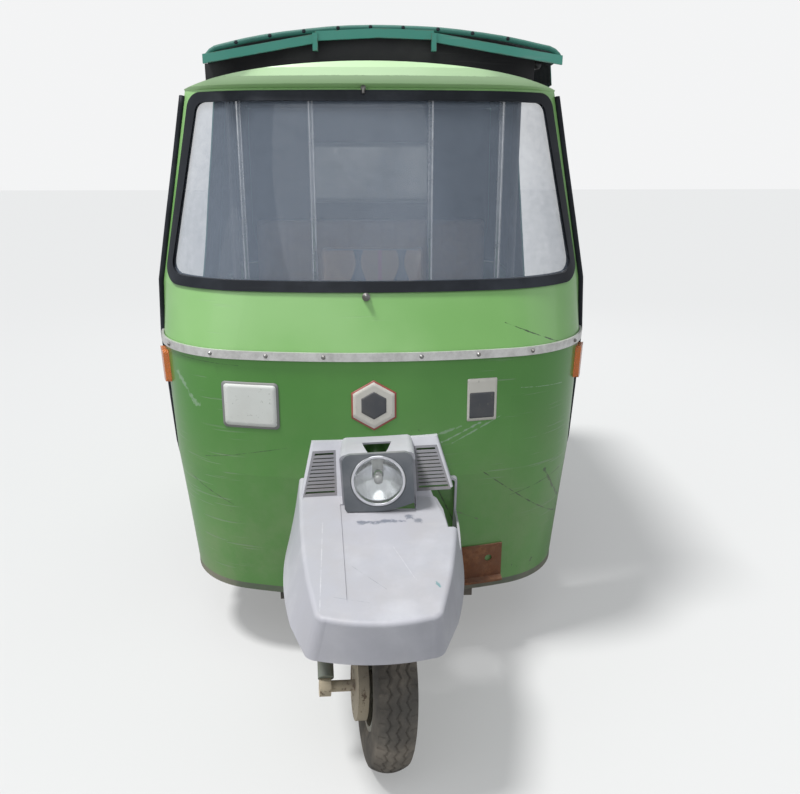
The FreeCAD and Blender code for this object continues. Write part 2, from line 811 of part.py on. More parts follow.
def driverSeatBox():
    outline = [("-seatBoxHalf", "-seatBoxFront"), ("seatBoxHalf", "-seatBoxFront"),
               ("seatBoxHalf", "seatBoxBack"), ("-seatBoxHalf", "seatBoxBack")]
    hollow = [("seatBoxWall - seatBoxHalf", "seatBoxWall - seatBoxFront"),
              ("seatBoxHalf - seatBoxWall", "seatBoxWall - seatBoxFront"),
              ("seatBoxHalf - seatBoxWall", "seatBoxBack - seatBoxWall"),
              ("seatBoxWall - seatBoxHalf", "seatBoxBack - seatBoxWall")]
    body = padBody("driver_seat_box", "XY_Plane", [outline, hollow], "seatBoxTop - footHeight - seatGap",
                   (0, 0, "(seatBoxTop + footHeight + seatGap) / 2"))
    return body


def driverCushion():
    return block("driver_cushion", ("-seatBoxHalf - 15", "-seatBoxFront - 15", "seatBoxTop + seatGap"),
                 "2 * seatBoxHalf + 30", "seatBoxFront + seatBoxBack + 20", "cushionTop - seatBoxTop")


def driverBackrest():
    return block("driver_backrest", ("-backrestHalf", "partitionBack - partitionTube - seatGap - backrestThick",
                                     "backrestLow"), "2 * backrestHalf", "backrestThick",
                 "backrestHigh - backrestLow")


def hoodTail():
    return size("tailFace") - size("hoodInset")


def hoop(name):
    """one of the roof's sections, its place in millimetres behind the origin"""
    section = {column: size(name + column) for column in HOOP_COLUMNS}
    length = size("canopyFront") + hoodTail()
    section["Place"] = section["Place"] / 100 * length - size("canopyFront")
    return section


def hoopAt(back):
    """the roof's section at a place behind the origin"""
    hoops = [hoop(name) for name in HOOPS]
    for first, second in zip(hoops, hoops[1:]):
        if back <= second["Place"]:
            break
    share = (back - first["Place"]) / (second["Place"] - first["Place"])
    return {column: first[column] + share * (second[column] - first[column]) for column in HOOP_COLUMNS}


def hoopPoints(section, inset, base):
    """the roof's outline from one side's foot to the other's"""
    edge, height = section["Edge"] - inset, section["EdgeHeight"] - inset
    place, askew = section["Place"], section["Askew"]
    foot = section["Base"] - inset
    upper = [(edge, height - 35), (edge - 13, height - 4), (edge - 45, height + 12)]
    points = [Vector(-foot, place, base)] + [Vector(askew - x, place, z) for x, z in upper]
    points.append(Vector(askew, place, section["Crown"] - inset))
    return points + [Vector(askew + x, place, z) for x, z in reversed(upper)] + [Vector(foot, place, base)]


def hoopWire(section, inset, base):
    points = hoopPoints(section, inset, base)
    edges = [Part.LineSegment(points[0], points[1]).toShape()]
    edges += [Part.Arc(*points[start:start + 3]).toShape() for start in (1, 3, 5)]
    edges.append(Part.LineSegment(points[7], points[8]).toShape())
    edges.append(Part.LineSegment(points[8], points[0]).toShape())
    return Part.Wire(edges)


def backPrism(inset, front, base):
    """the roof and tail seen from the side, run across the whole width"""
    side, top = -1.4 * size("waistSide"), 1.2 * size("bendStartHeight")
    tail = hoodTail() - inset
    waist = size("waistHeight")
    start, bend, drop = [Vector(side, tail - size(name + "Inside"), size(name + "Height") - inset)
                         for name in CORNERS]
    lean = size("bendEndInside") / (size("bendEndHeight") - waist)
    foot = Vector(side, tail + lean * (waist - base), base)
    points = [foot, Vector(side, -front, base), Vector(side, -front, top), Vector(side, start.y, top), start]
    edges = [Part.LineSegment(first, second).toShape() for first, second in zip(points, points[1:])]
    edges.append(Part.Arc(start, bend, drop).toShape())
    edges.append(Part.LineSegment(drop, foot).toShape())
    return Part.Face(Part.Wire(edges)).extrude(Vector(-2 * side, 0, 0))


def canopyOuter():
    waist = size("waistHeight")
    loft = Part.makeLoft([hoopWire(hoop(name), 0, waist) for name in HOOPS], True, True)
    return loft.common(backPrism(0, size("canopyFront"), waist))


def canopyInner(wall):
    waist = size("waistHeight")
    sections = [hoop(name) for name in HOOPS]
    sections[0] = dict(sections[0], Place=sections[0]["Place"] - 20)
    loft = Part.makeLoft([hoopWire(section, wall, waist - 20) for section in sections], True, True)
    return loft.common(backPrism(wall, size("canopyFront") + 20, waist - 20))


def canopy():
    inner = canopyInner(size("canopyWall"))
    shell = canopyOuter().cut(inner)
    start, side = -size("canopyFront") - 50, 1.4 * size("waistSide")
    low = size("valance")
    high = size("browTopHeight") + GAP
    doorways = Part.makeBox(2 * side, size("quarterFront") - start, low, Vector(-side, start, 0))
    overBrow = Part.makeBox(2 * side, -size("hoodOverBrow") - start, high, Vector(-side, start, 0))
    return shaped("canopy", shell.cut([doorways, overBrow, rearWindowBox(0)]))


def rearWindowBox(inset):
    half, low, high = size("windowHalf") - inset, size("windowLow") + inset, size("windowHigh") - inset
    deep = 2 * size("bendEndInside")
    box = Part.makeBox(2 * half, 2 * deep, high - low, Vector(-half, hoodTail() - deep, low))
    return box.makeFillet(size("windowRound"), [edge for edge in box.Edges if edgeAlong(Vector(0, 1, 0))(edge)])


def rearWindow():
    """clear sheet in the middle of the hood's wall"""
    rim = (size("canopyWall") - size("windowThick")) / 2
    sheetWall = canopyWallBetween(rim, rim + size("windowThick"))
    return shaped("rear_window", sheetWall.common(rearWindowBox(GAP)))


def canopyWallBetween(outer, inner):
    return canopyInner(outer).cut(canopyInner(inner))


def frameHoop(place):
    """one hoop of the roof frame: its right and left corners and its crown"""
    section = hoopAt(place)
    half, height = section["Edge"] - size("frameInset"), section["EdgeHeight"] - size("frameDrop")
    crown = section["Crown"] - size("canopyWall") - GAP - size("frameTube")
    askew = section["Askew"]
    return Vector(askew - half, place, height), Vector(askew + half, place, height), Vector(askew, place, crown)


def doorPosts():
    """foot and head of the two posts between the doorways"""
    across = size("footSide") - size("sillWide") - size("postTube") - GAP
    foot = size("footHeight") + GAP
    heads = frameHoop(size("partitionBack"))
    return [(Vector(side * across, heads[0].y, foot), head) for side, head in zip((-1, 1), heads)]


def roofFrame():
    radius = size("frameTube")
    places = (-size("frontBow"), size("partitionBack"), size("quarterFront"), size("rearBow"))
    hoops = [frameHoop(place) for place in places]
    solids = [tube([corners[side] for corners in hoops], radius) for side in (0, 1)]
    solids += [tube(post, size("postTube")) for post in doorPosts()]
    for right, left, crown in hoops:
        solids += [Part.makeSphere(radius + size("jointProud"), corner) for corner in (right, left)]
    for right, left, crown in hoops:
        arc = Part.Arc(right, crown, left)
        circle = Part.Wire(Part.makeCircle(radius, right, arc.tangent(arc.FirstParameter)[0]))
        solids.append(Part.Wire(arc.toShape()).makePipeShell([circle], True, False))
    return shaped("roof_frame", solids[0].fuse(solids[1:]))


def partition():
    radius, place, foot = size("partitionTube"), size("partitionBack"), size("footHeight") + GAP
    right, left, crown = frameHoop(place)
    half, rise = left.x - crown.x, crown.z - left.z
    bow = (half ** 2 + rise ** 2) / (2 * rise)
    solids = []
    for across in (-size("outerRail"), -size("innerRail"), size("innerRail"), size("outerRail")):
        outward = abs(across - crown.x) + radius
        fall = math.sqrt(bow ** 2 - outward ** 2)
        top = crown.z - bow + fall - (size("frameTube") + GAP) * bow / fall
        solids.append(tube([Vector(across, place, foot), Vector(across, place, top)], radius))
    for height in (size("seatBoxTop"), size("waistHeight")):
        ends = []
        for inward, (low, high) in zip((1, -1), doorPosts()):
            post = low + (high - low) * ((height - low.z) / (high.z - low.z))
            ends.append(post + Vector(inward * (size("postTube") + GAP), 0, 0))
        solids.append(tube(ends, radius))
    return shaped("partition_rails", solids[0].fuse(solids[1:]))


def roofFrontRail():
    """three flat bars along the roof's front edge, the middle one raised, with a bracket at each joint"""
    thick = size("railBarThick")
    tall = Vector(0, 0, size("railBarTall"))
    front = -size("canopyFront") - GAP - thick
    crown, edge, askew = size("hoopFrontCrown"), size("hoopFrontEdge"), size("hoopFrontAskew")
    rise = crown - size("hoopFrontEdgeHeight")
    joints = [-size("railJointRight"), size("railJointLeft")]
    bars = [(askew - edge, joints[0], 0), (joints[0], askew / 2, size("railLift")),
            (askew / 2, joints[1], size("railLift")), (joints[1], askew + edge, 0)]
    solids = []
    for start, end, lift in bars:
        low = [Vector(x, front, crown - rise * ((x - askew) / edge) ** 2 - size("railDrop") + lift) - tall / 2
               for x in (start, end)]
        face = polygonFace([low[0], low[1], low[1] + tall, low[0] + tall])
        solids.append(face.extrude(Vector(0, thick, 0)))
    for across in joints:
        foot = crown - size("railDrop") - tall.z * 1.7
        corner = Vector(across - size("bracketBarWide") / 2, front - thick / 2, foot)
        solids.append(Part.makeBox(size("bracketBarWide"), thick * 1.5, tall.z * 1.9, corner))
    return shaped("roof_front_rail", solids[0].fuse(solids[1:]))


def frontLining():
    """dark panel that closes the gap between the brow and the roof"""
    top = level("browTop")
    inset = size("liningInset")
    low, high = dict(top, Height=HEAD["Height"] + GAP), dict(top, Height=size("hoopFrontCrown"))
    behindBrow = frontWall([low, top], inset, inset + size("liningThick"))
    underHood = frontWall([top, high], inset, inset + size("liningThick"))
    panel = behindBrow.fuse(underHood.common(canopyInner(size("canopyWall") + GAP)))
    front = size("bellyFront")
    end = size("frontBow") + size("frameTube") + size("jointProud") + GAP
    sides = Part.makeBox(2 * front, end, 2 * front, Vector(-front, -end, HEAD["Height"]))
    return shaped("front_lining", panel.cut(sides))


def sideCurtain():
    """full-height curtain beside the bench's foot well, on the closed side"""
    wall, waist = size("curtainWall"), size("waistHeight")
    start, end = size("doorBack") + size("curtainStart"), size("quarterFront") - GAP
    reach = size("waistSide") + wall
    region = Part.makeBox(reach, end - start, size("valance") - GAP - waist, Vector(-reach, start, waist))
    upper = canopyOuter().cut(canopyInner(wall)).common(region)
    outer = [(-size("footSide"), size("footHeight") + size("sillLip") + GAP), (-size("hoopBenchBase"), waist)]
    face = polygonFace([Vector(x, start, z) for x, z in outer + [(x + wall, z) for x, z in reversed(outer)]])
    return shaped("side_curtain", upper.fuse(face.extrude(Vector(0, end - start, 0))))


def bench():
    cushion = block("passenger_cushion", ("-benchHalf", "benchFront", "deckHeight + seatGap"), "2 * benchHalf",
                    "benchBack - benchFront", "benchTop - deckHeight")
    rest = padBody("passenger_backrest", "YZ_Plane", [[
        ("benchBack + 4", "deckHeight + seatGap"),
        ("benchBack + 90", "deckHeight + seatGap"),
        ("benchBack + 140", "benchRestTop"),
        ("benchBack + 60", "benchRestTop"),
    ]], "2 * benchHalf")
    return [cushion, rest]


# Nose

def spotInside(corner, towards, reach):
    return corner + (towards - corner).normalize() * reach


def billWire(name, inset):
    """a level plan of the mudguard, from the cowl along one side, round its front and back along the other"""
    row = {column: size(name + column) for column in BILL_COLUMNS}
    rear = Vector(row["Rear"] - inset, 2 * inset - size("houseBack"), 0)
    wide, bow, tip = [Vector(row[column] - inset, inset - row[column + "Ahead"], 0)
                      for column in ("Wide", "Bow", "Tip")]
    front = Vector(0, inset - row["Front"], 0)
    reach = size("billCorner")
    before, after = spotInside(tip, bow, reach), spotInside(tip, front, reach)
    middle = ((before + after) / 2 + tip) / 2
    half = [rear, wide, bow, before, middle, after]
    whole = half + [front] + [Vector(-point.x, point.y, 0) for point in reversed(half)]
    outline = [point + Vector(row["Shift"], 0, row["Height"]) for point in whole]
    edges = []
    for start, isArc in ((0, True), (2, False), (3, True), (5, True), (7, True), (9, False), (10, True)):
        if isArc:
            edges.append(Part.Arc(*outline[start:start + 3]).toShape())
        else:
            edges.append(Part.LineSegment(*outline[start:start + 2]).toShape())
    edges.append(Part.LineSegment(outline[-1], outline[0]).toShape())
    return Part.Wire(edges)


def billTop(ahead):
    """height of the mudguard's top, which falls towards its front"""
    share = (ahead - size("bellyFront")) / (size("billSkirtFront") - size("bellyFront"))
    return size("billTopRear") + share * (size("billTopFront") - size("billTopRear"))


def aboveBill(lift):
    half, top = 2 * size("billSkirtWide"), size("billShoulderHeight") + size("houseTop")
    back, front = size("houseBack") - 50, size("billSkirtFront") + 50
    corners = [(back, billTop(back) + lift), (front, billTop(front) + lift), (front, top), (back, top)]
    return polygonFace([Vector(-half, -y, z) for y, z in corners]).extrude(Vector(2 * half, 0, 0))


def bill(inset):
    """the mudguard over the front wheel, filled: flat top, flared sides and rounded corners"""
    solid = Part.makeLoft([billWire("billSkirt", inset), billWire("billShoulder", inset)], True, True)
    solid = solid.cut(aboveBill(-inset))
    rim = [edge for edge in solid.Edges if all(abs(v.Z + inset - billTop(-v.Y)) < 0.01 for v in edge.Vertexes)
           and edge.BoundBox.YMin < -size("houseBack") - 1]
    return solid.makeFillet(size("billRound") - inset, rim)


def lampTilted(shape):
    shape.rotate(Vector(size("lampAcross"), 0, size("lampCentre")), Vector(0, -1, 0), size("noseTilt"))
    return shape


def louvredHouse(inset):
    """the lamp housing, filled and before it was knocked round: a sloping front with rounded corners"""
    back = 2 * inset - size("houseBack")
    slope = (size("houseLowFront") - size("houseTopFront")) / (size("houseTop") - size("houseLow"))
    ahead = inset * math.sqrt(1 + slope ** 2)
    wires = []
    for end in ("Low", "Top"):
        half, front = size("house%sHalf" % end) - inset, ahead - size("house%sFront" % end)
        plan = ((-half, back), (half, back), (half, front), (-half, front))
        corners = [Vector(x, y, size("house" + end)) for x, y in plan]
        wires.append(Part.makePolygon(corners + corners[:1]))
    wedge = Part.makeLoft(wires, True, True)
    corners = [edge for edge in wedge.Edges
               if edge.BoundBox.ZLength > 1 and edge.BoundBox.YMin < -size("houseTopFront") - 1]
    wedge = wedge.makeFillet(size("houseRound"), corners)
    if inset:
        half, front = size("houseLowHalf"), size("houseLowFront")
        corner = Vector(-half, -front, size("houseTop") - inset)
        wedge = wedge.cut(Part.makeBox(2 * half, front, inset, corner))
    return wedge


def lampCollar(inset):
    """the part that stands out round the lamp, filled"""
    back = 2 * inset - size("houseBack")
    half, front, low = size("collarHalf") - inset, inset - size("collarFront"), size("houseLow")
    outline = [(back, low), (front, low), (front, size("collarTop") - inset), (back, size("collarTopRear") - inset)]
    collar = polygonFace([Vector(-half, y, z) for y, z in outline]).extrude(Vector(2 * half, 0, 0))
    edges = [edge for edge in collar.Edges if edge.BoundBox.XLength < 1 and edge.BoundBox.ZMin > low + 1]
    collar = collar.makeFillet(size("collarRound") - inset, edges)
    collar.translate(Vector(size("lampAcross"), 0, 0))
    return collar


def house(inset):
    return lampTilted(louvredHouse(inset).fuse(lampCollar(inset)))


def louvreWindow(side, inset):
    """one louvre panel's outline, run from in front of the housing to behind it"""
    low, high = size("louvreLow") + inset, size("louvreHigh") - inset
    inner = size("louvreInner") + inset
    lowOuter, highOuter = size("louvreLowOuter") - inset, size("louvreHighOuter") - inset
    corners = [(inner, low), (lowOuter, low), (highOuter, high), (inner, high)]
    front = -size("collarFront")
    face = polygonFace([Vector(side * x, front, z) for x, z in corners])
    return face.extrude(Vector(0, size("collarFront") - size("houseBack"), 0))


def lampHole(radius):
    front = size("collarFront") + size("bezelThick") + size("lampDeep")
    return Part.makeCylinder(radius, size("lampDeep") * 3, Vector(size("lampAcross"), -front, size("lampCentre")),
                             Vector(0, 1, 0))


def noseTear():
    """where the mudguard's corner and the housing's edge have broken away, as seen from the front"""
    outline = [(150, 606), (236, 612), (252, 560), (238, 500), (216, 502), (200, 545), (180, 577), (158, 588)]
    ahead = size("tearAhead")
    face = polygonFace([Vector(x, -ahead, z) for x, z in outline])
    return face.extrude(Vector(0, ahead - size("bellyFront"), 0))


def noseHousing():
    wall = size("noseWall")
    solid = house(0).fuse(bill(0)).cut([house(wall), bill(wall)])
    ring = steeringAxisRod(size("headTubeRadius") + size("headTubeClear"), size("forkCrown"), size("headTubeHigh"))
    return solid.cut([frontBlock([FOOT, BELLY, WAIST], -GAP), ring])


def billDip():
    """the shallow hollow down the middle of the mudguard's top"""
    rear, front = size("dipRearHalf"), size("dipFrontHalf")
    shift = size("lampAcross")
    rearAhead, frontAhead = size("dipRear"), size("dipFront")
    corners = [(-rear, rearAhead), (-front, frontAhead), (front, frontAhead), (rear, rearAhead)]
    low = size("billSkirtHeight")
    floor = polygonFace([Vector(shift + x, -y, low) for x, y in corners])
    prism = floor.extrude(Vector(0, 0, size("houseTop") - low))
    return prism.common(aboveBill(-size("dipDeep")))


def noseFender():
    tools = [lampTilted(louvreWindow(side, 0)) for side in (1, -1)]
    tools += [lampHole(size("lampRadius") + size("lampClear")), noseTear(), billDip()]
    return shaped("nose_fender", noseHousing().cut(tools))


def louvreGrilles():
    """a thin frame round each louvre panel, crossed by level slats"""
    wall = louvredHouse(0).cut(louvredHouse(size("noseWall")))
    grilles = []
    count = int(size("slatCount"))
    low, high, rim = size("louvreLow"), size("louvreHigh"), size("louvreRim")
    pitch = (high - low - 2 * rim) / (count + 1)
    reach = size("collarFront")
    for side in (1, -1):
        pane = wall.common(louvreWindow(side, GAP))
        frame = pane.cut(louvreWindow(side, rim))
        bars = [Part.makeBox(2 * reach, reach, size("slatTall"),
                             Vector(-reach, -reach, low + rim + pitch * (index + 1) - size("slatTall") / 2))
                for index in range(count)]
        grilles.append(frame.fuse(pane.common(Part.makeCompound(bars))))
    solids = [solid for grille in grilles for solid in grille.Solids]
    return shaped("louvre_grilles", lampTilted(Part.makeCompound(solids)))


def headlamp():
    body = turnedBody("headlamp", [
        ("-lampDeep * 0.55", "0"), ("-lampDeep * 0.5", "lampRadius * 0.45"),
        ("0", "lampRadius - 6", "-lampDeep * 0.3", "lampRadius * 0.78"),
        ("8", "lampRadius - 6"), ("8", "lampRadius"), ("14", "lampRadius"),
        ("23", "lampRadius / 2", "19.8", "lampRadius * 0.77"), ("26", "0"),
    ])
    forward = Rotation(Vector(0, 0, 1), -90)
    front = size("collarFront") - 2
    body.Placement = FreeCAD.Placement(Vector(size("lampAcross"), -front, size("lampCentre")), forward)
    return body


def headlampBezel():
    """flat surround on the collar's front, its lower lip broken off unevenly"""
    half, thick = size("bezelHalf"), size("bezelThick")
    low, high = size("bezelLow"), size("bezelHigh")
    front = -size("collarFront") - GAP - thick
    middle = size("lampAcross")
    shape = Part.makeBox(2 * half, thick, high - low, Vector(middle - half, front, low))
    corners = [edge for edge in shape.Edges if edgeAlong(Vector(0, 1, 0))(edge)]
    shape = shape.makeFillet(size("bezelRound"), corners)
    broken = [(-half, low), (-half * 0.6, low + 4), (-half * 0.2, low + 2), (half * 0.35, low + 9),
              (half * 0.7, low + 17), (half, low + 26), (half, low - 20), (-half, low - 20)]
    chip = polygonFace([Vector(middle + x, front - thick, z) for x, z in broken]).extrude(Vector(0, 3 * thick, 0))
    hood = bill(0)
    hood.translate(Vector(0, 0, GAP))
    return shaped("headlamp_bezel", lampTilted(shape.cut(chip)).cut([lampHole(size("lampRadius") + GAP), hood]))


def frontBracket():
    """rusty angle left on the lower edge of the cowl, on one side only"""
    left, low = size("bracketLeft"), size("bracketLow")
    wide, tall, thick = size("bracketWide"), size("bracketTall"), size("bracketThick")
    plans = [FOOT, BELLY]
    deep = size("frontAxle")
    corner = Vector(left, -deep, low)
    upright = frontWall(plans, -thick - GAP, -GAP).common(Part.makeBox(wide, deep, tall, corner))
    foot = frontWall(plans, -size("bracketFoot"), -GAP).common(Part.makeBox(wide, deep, thick, corner))
    spot = corner + Vector(wide * 0.72, 0, tall * 0.6)
    slot = Part.makeCylinder(size("bracketHole"), deep, spot, Vector(0, 1, 0))
    return shaped("front_bracket", upright.fuse(foot).cut(slot))


# Steering body

def frontAxleSpot():
    return Vector(0, -size("frontAxle"), size("frontAxleHeight"))


def forkFoot():
    return onSteerAxis(size("axleHeight") + size("footRise")) - Vector(size("forkOffset"), 0, 0)


def forkShoulder():
    return onSteerAxis(size("forkCrown")) - STEER_AXIS * size("shoulderDrop") - Vector(size("forkOffset"), 0, 0)


def steeringColumn():
    crown = onSteerAxis(size("forkCrown"))
    column = tube([crown, onSteerAxis(size("columnTop"))], size("columnRadius"))
    leg = tube([crown, forkShoulder(), forkFoot()], size("legRadius"))
    boss = Part.makeSphere(size("legRadius") + 3, crown)
    half = size("legPivotHalf")
    pivot = Part.makeCylinder(size("eyeRadius"), 2 * half, forkFoot() - Vector(half, 0, 0), Vector(1, 0, 0))
    item = shaped("steering_fork", Part.makeCompound([column.fuse([leg, boss, pivot]), frontShock()]))
    item.Placement = TURNED
    return item


def handlebar():
    top = onSteerAxis(size("columnTop"))
    grip = Vector(size("gripHalf"), -size("gripBack"), size("gripHeight"))
    root = grip - Vector(size("gripLong"), size("gripSweep"), -size("gripFall"))
    neck = top + Vector(size("barNeckHalf"), size("barNeckBack"), size("barNeckRise"))
    solids = []
    for side in (1, -1):
        points = [top + STEER_AXIS * size("barNeckBack")]
        points += [Vector(side * point.x, point.y, point.z) for point in (neck, root, grip)]
        solids.append(tube(points, size("barRadius")))
        solids.append(tube(points[2:], size("gripRadius")))
    clamp = Part.makeCylinder(size("clampRadius"), size("clampTall"), top + STEER_AXIS * GAP, STEER_AXIS)
    item = shaped("handlebar", clamp.fuse(solids))
    item.Placement = TURNED
    return item


def linkArm(spare):
    """the leading link's arm and its two eyes"""
    axle, foot = frontAxleSpot(), forkFoot()
    outside = foot.x - size("legPivotHalf") - GAP - size("linkWide")
    middle = outside + size("linkWide") / 2
    arm = tube([Vector(middle, foot.y, foot.z), Vector(middle, axle.y, axle.z)], size("linkRadius") + spare)
    radius, long = size("eyeRadius") + spare, size("linkWide") + 2 * spare
    eyes = [Part.makeCylinder(radius, long, Vector(outside - spare, end.y, end.z), Vector(1, 0, 0))
            for end in (foot, axle)]
    return arm.fuse(eyes), outside


def frontLink():
    """leading link from the fork's foot to the axle, with the brake drum"""
    axle = frontAxleSpot()
    arm, outside = linkArm(0)
    shaft = Part.makeCylinder(size("axleRadius"), size("hubReach") - 4 - outside, Vector(outside, axle.y, axle.z),
                              Vector(1, 0, 0))
    drumOut = size("hubReach") + size("drumGap") + size("frontDrumWide")
    drum = Part.makeCylinder(size("frontDrumRadius"), size("frontDrumWide"), Vector(-drumOut, axle.y, axle.z),
                             Vector(1, 0, 0))
    leg = tube([forkShoulder(), forkFoot()], size("legRadius") + GAP)
    item = shaped("front_link", arm.fuse([shaft, drum]).cut(leg))
    item.Placement = TURNED
    return item


def frontShock():
    """shock absorber from the link's end up beside the fork's leg, its foot shaped round the link's eye"""
    across = Vector(-size("forkOffset") - size("legRadius") - size("frontShockRadius") - GAP, 0, 0)
    low = frontAxleSpot() + across + Vector(0, 0, size("eyeRadius"))
    high = onSteerAxis(size("forkCrown") - size("shockDrop")) + across
    return tube([low, high], size("frontShockRadius")).cut(linkArm(GAP)[0])


# Wheels

def tyreSteps():
    return [
        ("4 + seatGap - rimHalf", "beadRadius"), ("rimHalf - 4 - seatGap", "beadRadius"),
        ("rimHalf - 4 - seatGap", "beadRadius + 10"), ("rimHalf + 1", "beadRadius + 15"),
        ("tyreHalf - 6", "shoulderRadius", "tyreHalf", "(beadRadius + shoulderRadius) / 2 + 6"),
        ("6 - tyreHalf", "shoulderRadius", "0", "tyreRadius"),
        ("-rimHalf - 1", "beadRadius + 15", "-tyreHalf", "(beadRadius + shoulderRadius) / 2 + 6"),
        ("4 + seatGap - rimHalf", "beadRadius + 10"),
    ]


def rimSteps():
    bead = "beadRadius - seatGap"
    return [
        ("-rimHalf", bead + " + 9"), ("4 - rimHalf", bead + " + 9"), ("4 - rimHalf", bead),
        ("-16", bead), ("-12", "rimWell + 4"), ("12", "rimWell + 4"), ("16", bead), ("rimHalf - 4", bead),
        ("rimHalf - 4", bead + " + 9"), ("rimHalf", bead + " + 9"), ("rimHalf", bead + " - 4"),
        ("18", bead + " - 4"), ("16", "rimWell"), ("discHalf", "rimWell"), ("discHalf", "hubRadius"),
        ("hubReach", "hubRadius - 8"), ("hubReach", "axleRadius + fitGap"), ("-hubReach", "axleRadius + fitGap"),
        ("-hubReach", "hubRadius - 8"), ("-discHalf", "hubRadius"), ("-discHalf", "rimWell"), ("-16", "rimWell"),
        ("-18", bead + " - 4"), ("-rimHalf", bead + " - 4"),
    ]


def wheels():
    places = {
        "front": TURNED.multiply(FreeCAD.Placement(frontAxleSpot(), Rotation())),
        "left": FreeCAD.Placement(Vector(size("trackHalf"), size("rearAxle"), size("axleHeight")), Rotation()),
        "right": FreeCAD.Placement(Vector(-size("trackHalf"), size("rearAxle"), size("axleHeight")), Rotation()),
    }
    items = []
    for name, place in places.items():
        items.append(turnedBody("tyre_" + name, tyreSteps(), place))
        items.append(turnedBody("rim_" + name, rimSteps(), place))
    return items


pieces = [frontCowl(), waistStrip(), windscreenSurround(), windscreenGasket(), windscreenGlass(),
          sideIndicators(), floorPan(), chassisRails()]
pieces += quarterPanels()
pieces += [tailPanel(), engineLid(), rearBumper(), tailLamps(), rearDeck(), engineBlock(), rearArms(), rearShocks()]
pieces += [driverSeatBox(), driverCushion(), driverBackrest(), canopy(), rearWindow(), roofFrame(), partition()]
pieces += [roofFrontRail(), frontLining(), sideCurtain()]
pieces += bench()
pieces += [noseFender(), louvreGrilles(), headlamp(), headlampBezel(), frontBracket()]
pieces += [steeringColumn(), handlebar(), frontLink()]
pieces += wheels()


def checkAndWrite():
    doc.recompute()
    faults = []
    for item in doc.Objects:
        if "Invalid" in item.State or "Error" in item.State:
            faults.append("%s is %s" % (item.Name, item.State))
    for piece in pieces:
        if piece.Shape.isNull() or not piece.Shape.isValid() or not piece.Shape.Solids:
            faults.append("%s has no sound shape" % piece.Label)
    if faults:
        raise RuntimeError("; ".join(faults))
    os.makedirs("parts", exist_ok=True)
    for piece in pieces:
        piece.Shape.exportStep("parts/%s.step" % piece.Label)
    print("%d pieces written" % len(pieces))


checkAndWrite()
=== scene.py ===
import json
import math

import bmesh
import bpy
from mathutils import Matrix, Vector, noise
from mathutils.bvhtree import BVHTree


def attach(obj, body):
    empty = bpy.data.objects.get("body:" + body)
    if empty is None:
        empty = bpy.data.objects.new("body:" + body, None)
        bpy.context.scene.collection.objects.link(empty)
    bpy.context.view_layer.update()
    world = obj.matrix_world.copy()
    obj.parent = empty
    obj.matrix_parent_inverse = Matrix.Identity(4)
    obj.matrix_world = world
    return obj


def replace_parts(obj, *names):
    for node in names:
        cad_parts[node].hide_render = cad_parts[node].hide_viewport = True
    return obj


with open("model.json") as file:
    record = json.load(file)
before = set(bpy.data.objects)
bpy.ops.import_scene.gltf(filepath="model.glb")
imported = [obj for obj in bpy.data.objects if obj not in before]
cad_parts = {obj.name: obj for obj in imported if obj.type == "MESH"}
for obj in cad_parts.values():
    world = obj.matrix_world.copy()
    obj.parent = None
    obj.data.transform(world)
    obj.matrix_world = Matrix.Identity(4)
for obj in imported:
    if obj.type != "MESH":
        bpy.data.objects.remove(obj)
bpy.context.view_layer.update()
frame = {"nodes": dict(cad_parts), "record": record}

scene = bpy.context.scene
nodes = frame["nodes"]


# Node helpers

def fill(tree, node, inputs):
    for key, value in inputs.items():
        if isinstance(value, bpy.types.NodeSocket):
            tree.links.new(value, node.inputs[key])
        else:
            node.inputs[key].default_value = value
    return node


def addNode(tree, kind, inputs=None, **settings):
    made = tree.nodes.new(kind)
    for key, value in settings.items():
        setattr(made, key, value)
    return fill(tree, made, inputs or {})


def calc(tree, operation, first, second=None, third=None, clamp=False):
    given = {index: value for index, value in enumerate((first, second, third)) if value is not None}
    return addNode(tree, "ShaderNodeMath", given, operation=operation, use_clamp=clamp).outputs[0]


def times(tree, first, second, clamp=False):
    return calc(tree, "MULTIPLY", first, second, clamp=clamp)


def timesPlus(tree, first, second, third, clamp=False):
    return calc(tree, "MULTIPLY_ADD", first, second, third, clamp)


def minus(tree, first, second, clamp=False):
    return calc(tree, "SUBTRACT", first, second, clamp=clamp)


def larger(tree, first, second):
    return calc(tree, "MAXIMUM", first, second)


def vectorCalc(tree, operation, inputs, output=0):
    return addNode(tree, "ShaderNodeVectorMath", inputs, operation=operation).outputs[output]


def spread(tree, value, low, high, newLow=0.0, newHigh=1.0):
    inputs = {"Value": value, "From Min": low, "From Max": high, "To Min": newLow, "To Max": newHigh}
    return addNode(tree, "ShaderNodeMapRange", inputs, interpolation_type="SMOOTHSTEP").outputs["Result"]


def cloudy(tree, place, scale, detail, rough=0.5):
    inputs = {"Vector": place, "Scale": scale, "Detail": detail, "Roughness": rough}
    return addNode(tree, "ShaderNodeTexNoise", inputs).outputs["Fac"]


def objectPlace(tree):
    return addNode(tree, "ShaderNodeTexCoord").outputs["Object"]


def axesOf(tree, place):
    return addNode(tree, "ShaderNodeSeparateXYZ", {0: place}).outputs


def blendColor(tree, factor, first, second):
    made = tree.nodes.new("ShaderNodeMix")
    made.data_type = "RGBA"
    for index, value in ((0, factor), (6, first), (7, second)):
        if index and not isinstance(value, bpy.types.NodeSocket):
            value = (*value, 1)
        fill(tree, made, {index: value})
    return made.outputs[2]


# Camera, light and floor

cameraSet = {
    "spot": (-0.012, -2.831, 1.50),
    "down": 17.1,                   # degrees below the horizon
    "turn": -2.2,
    "lens": 36.1,
}


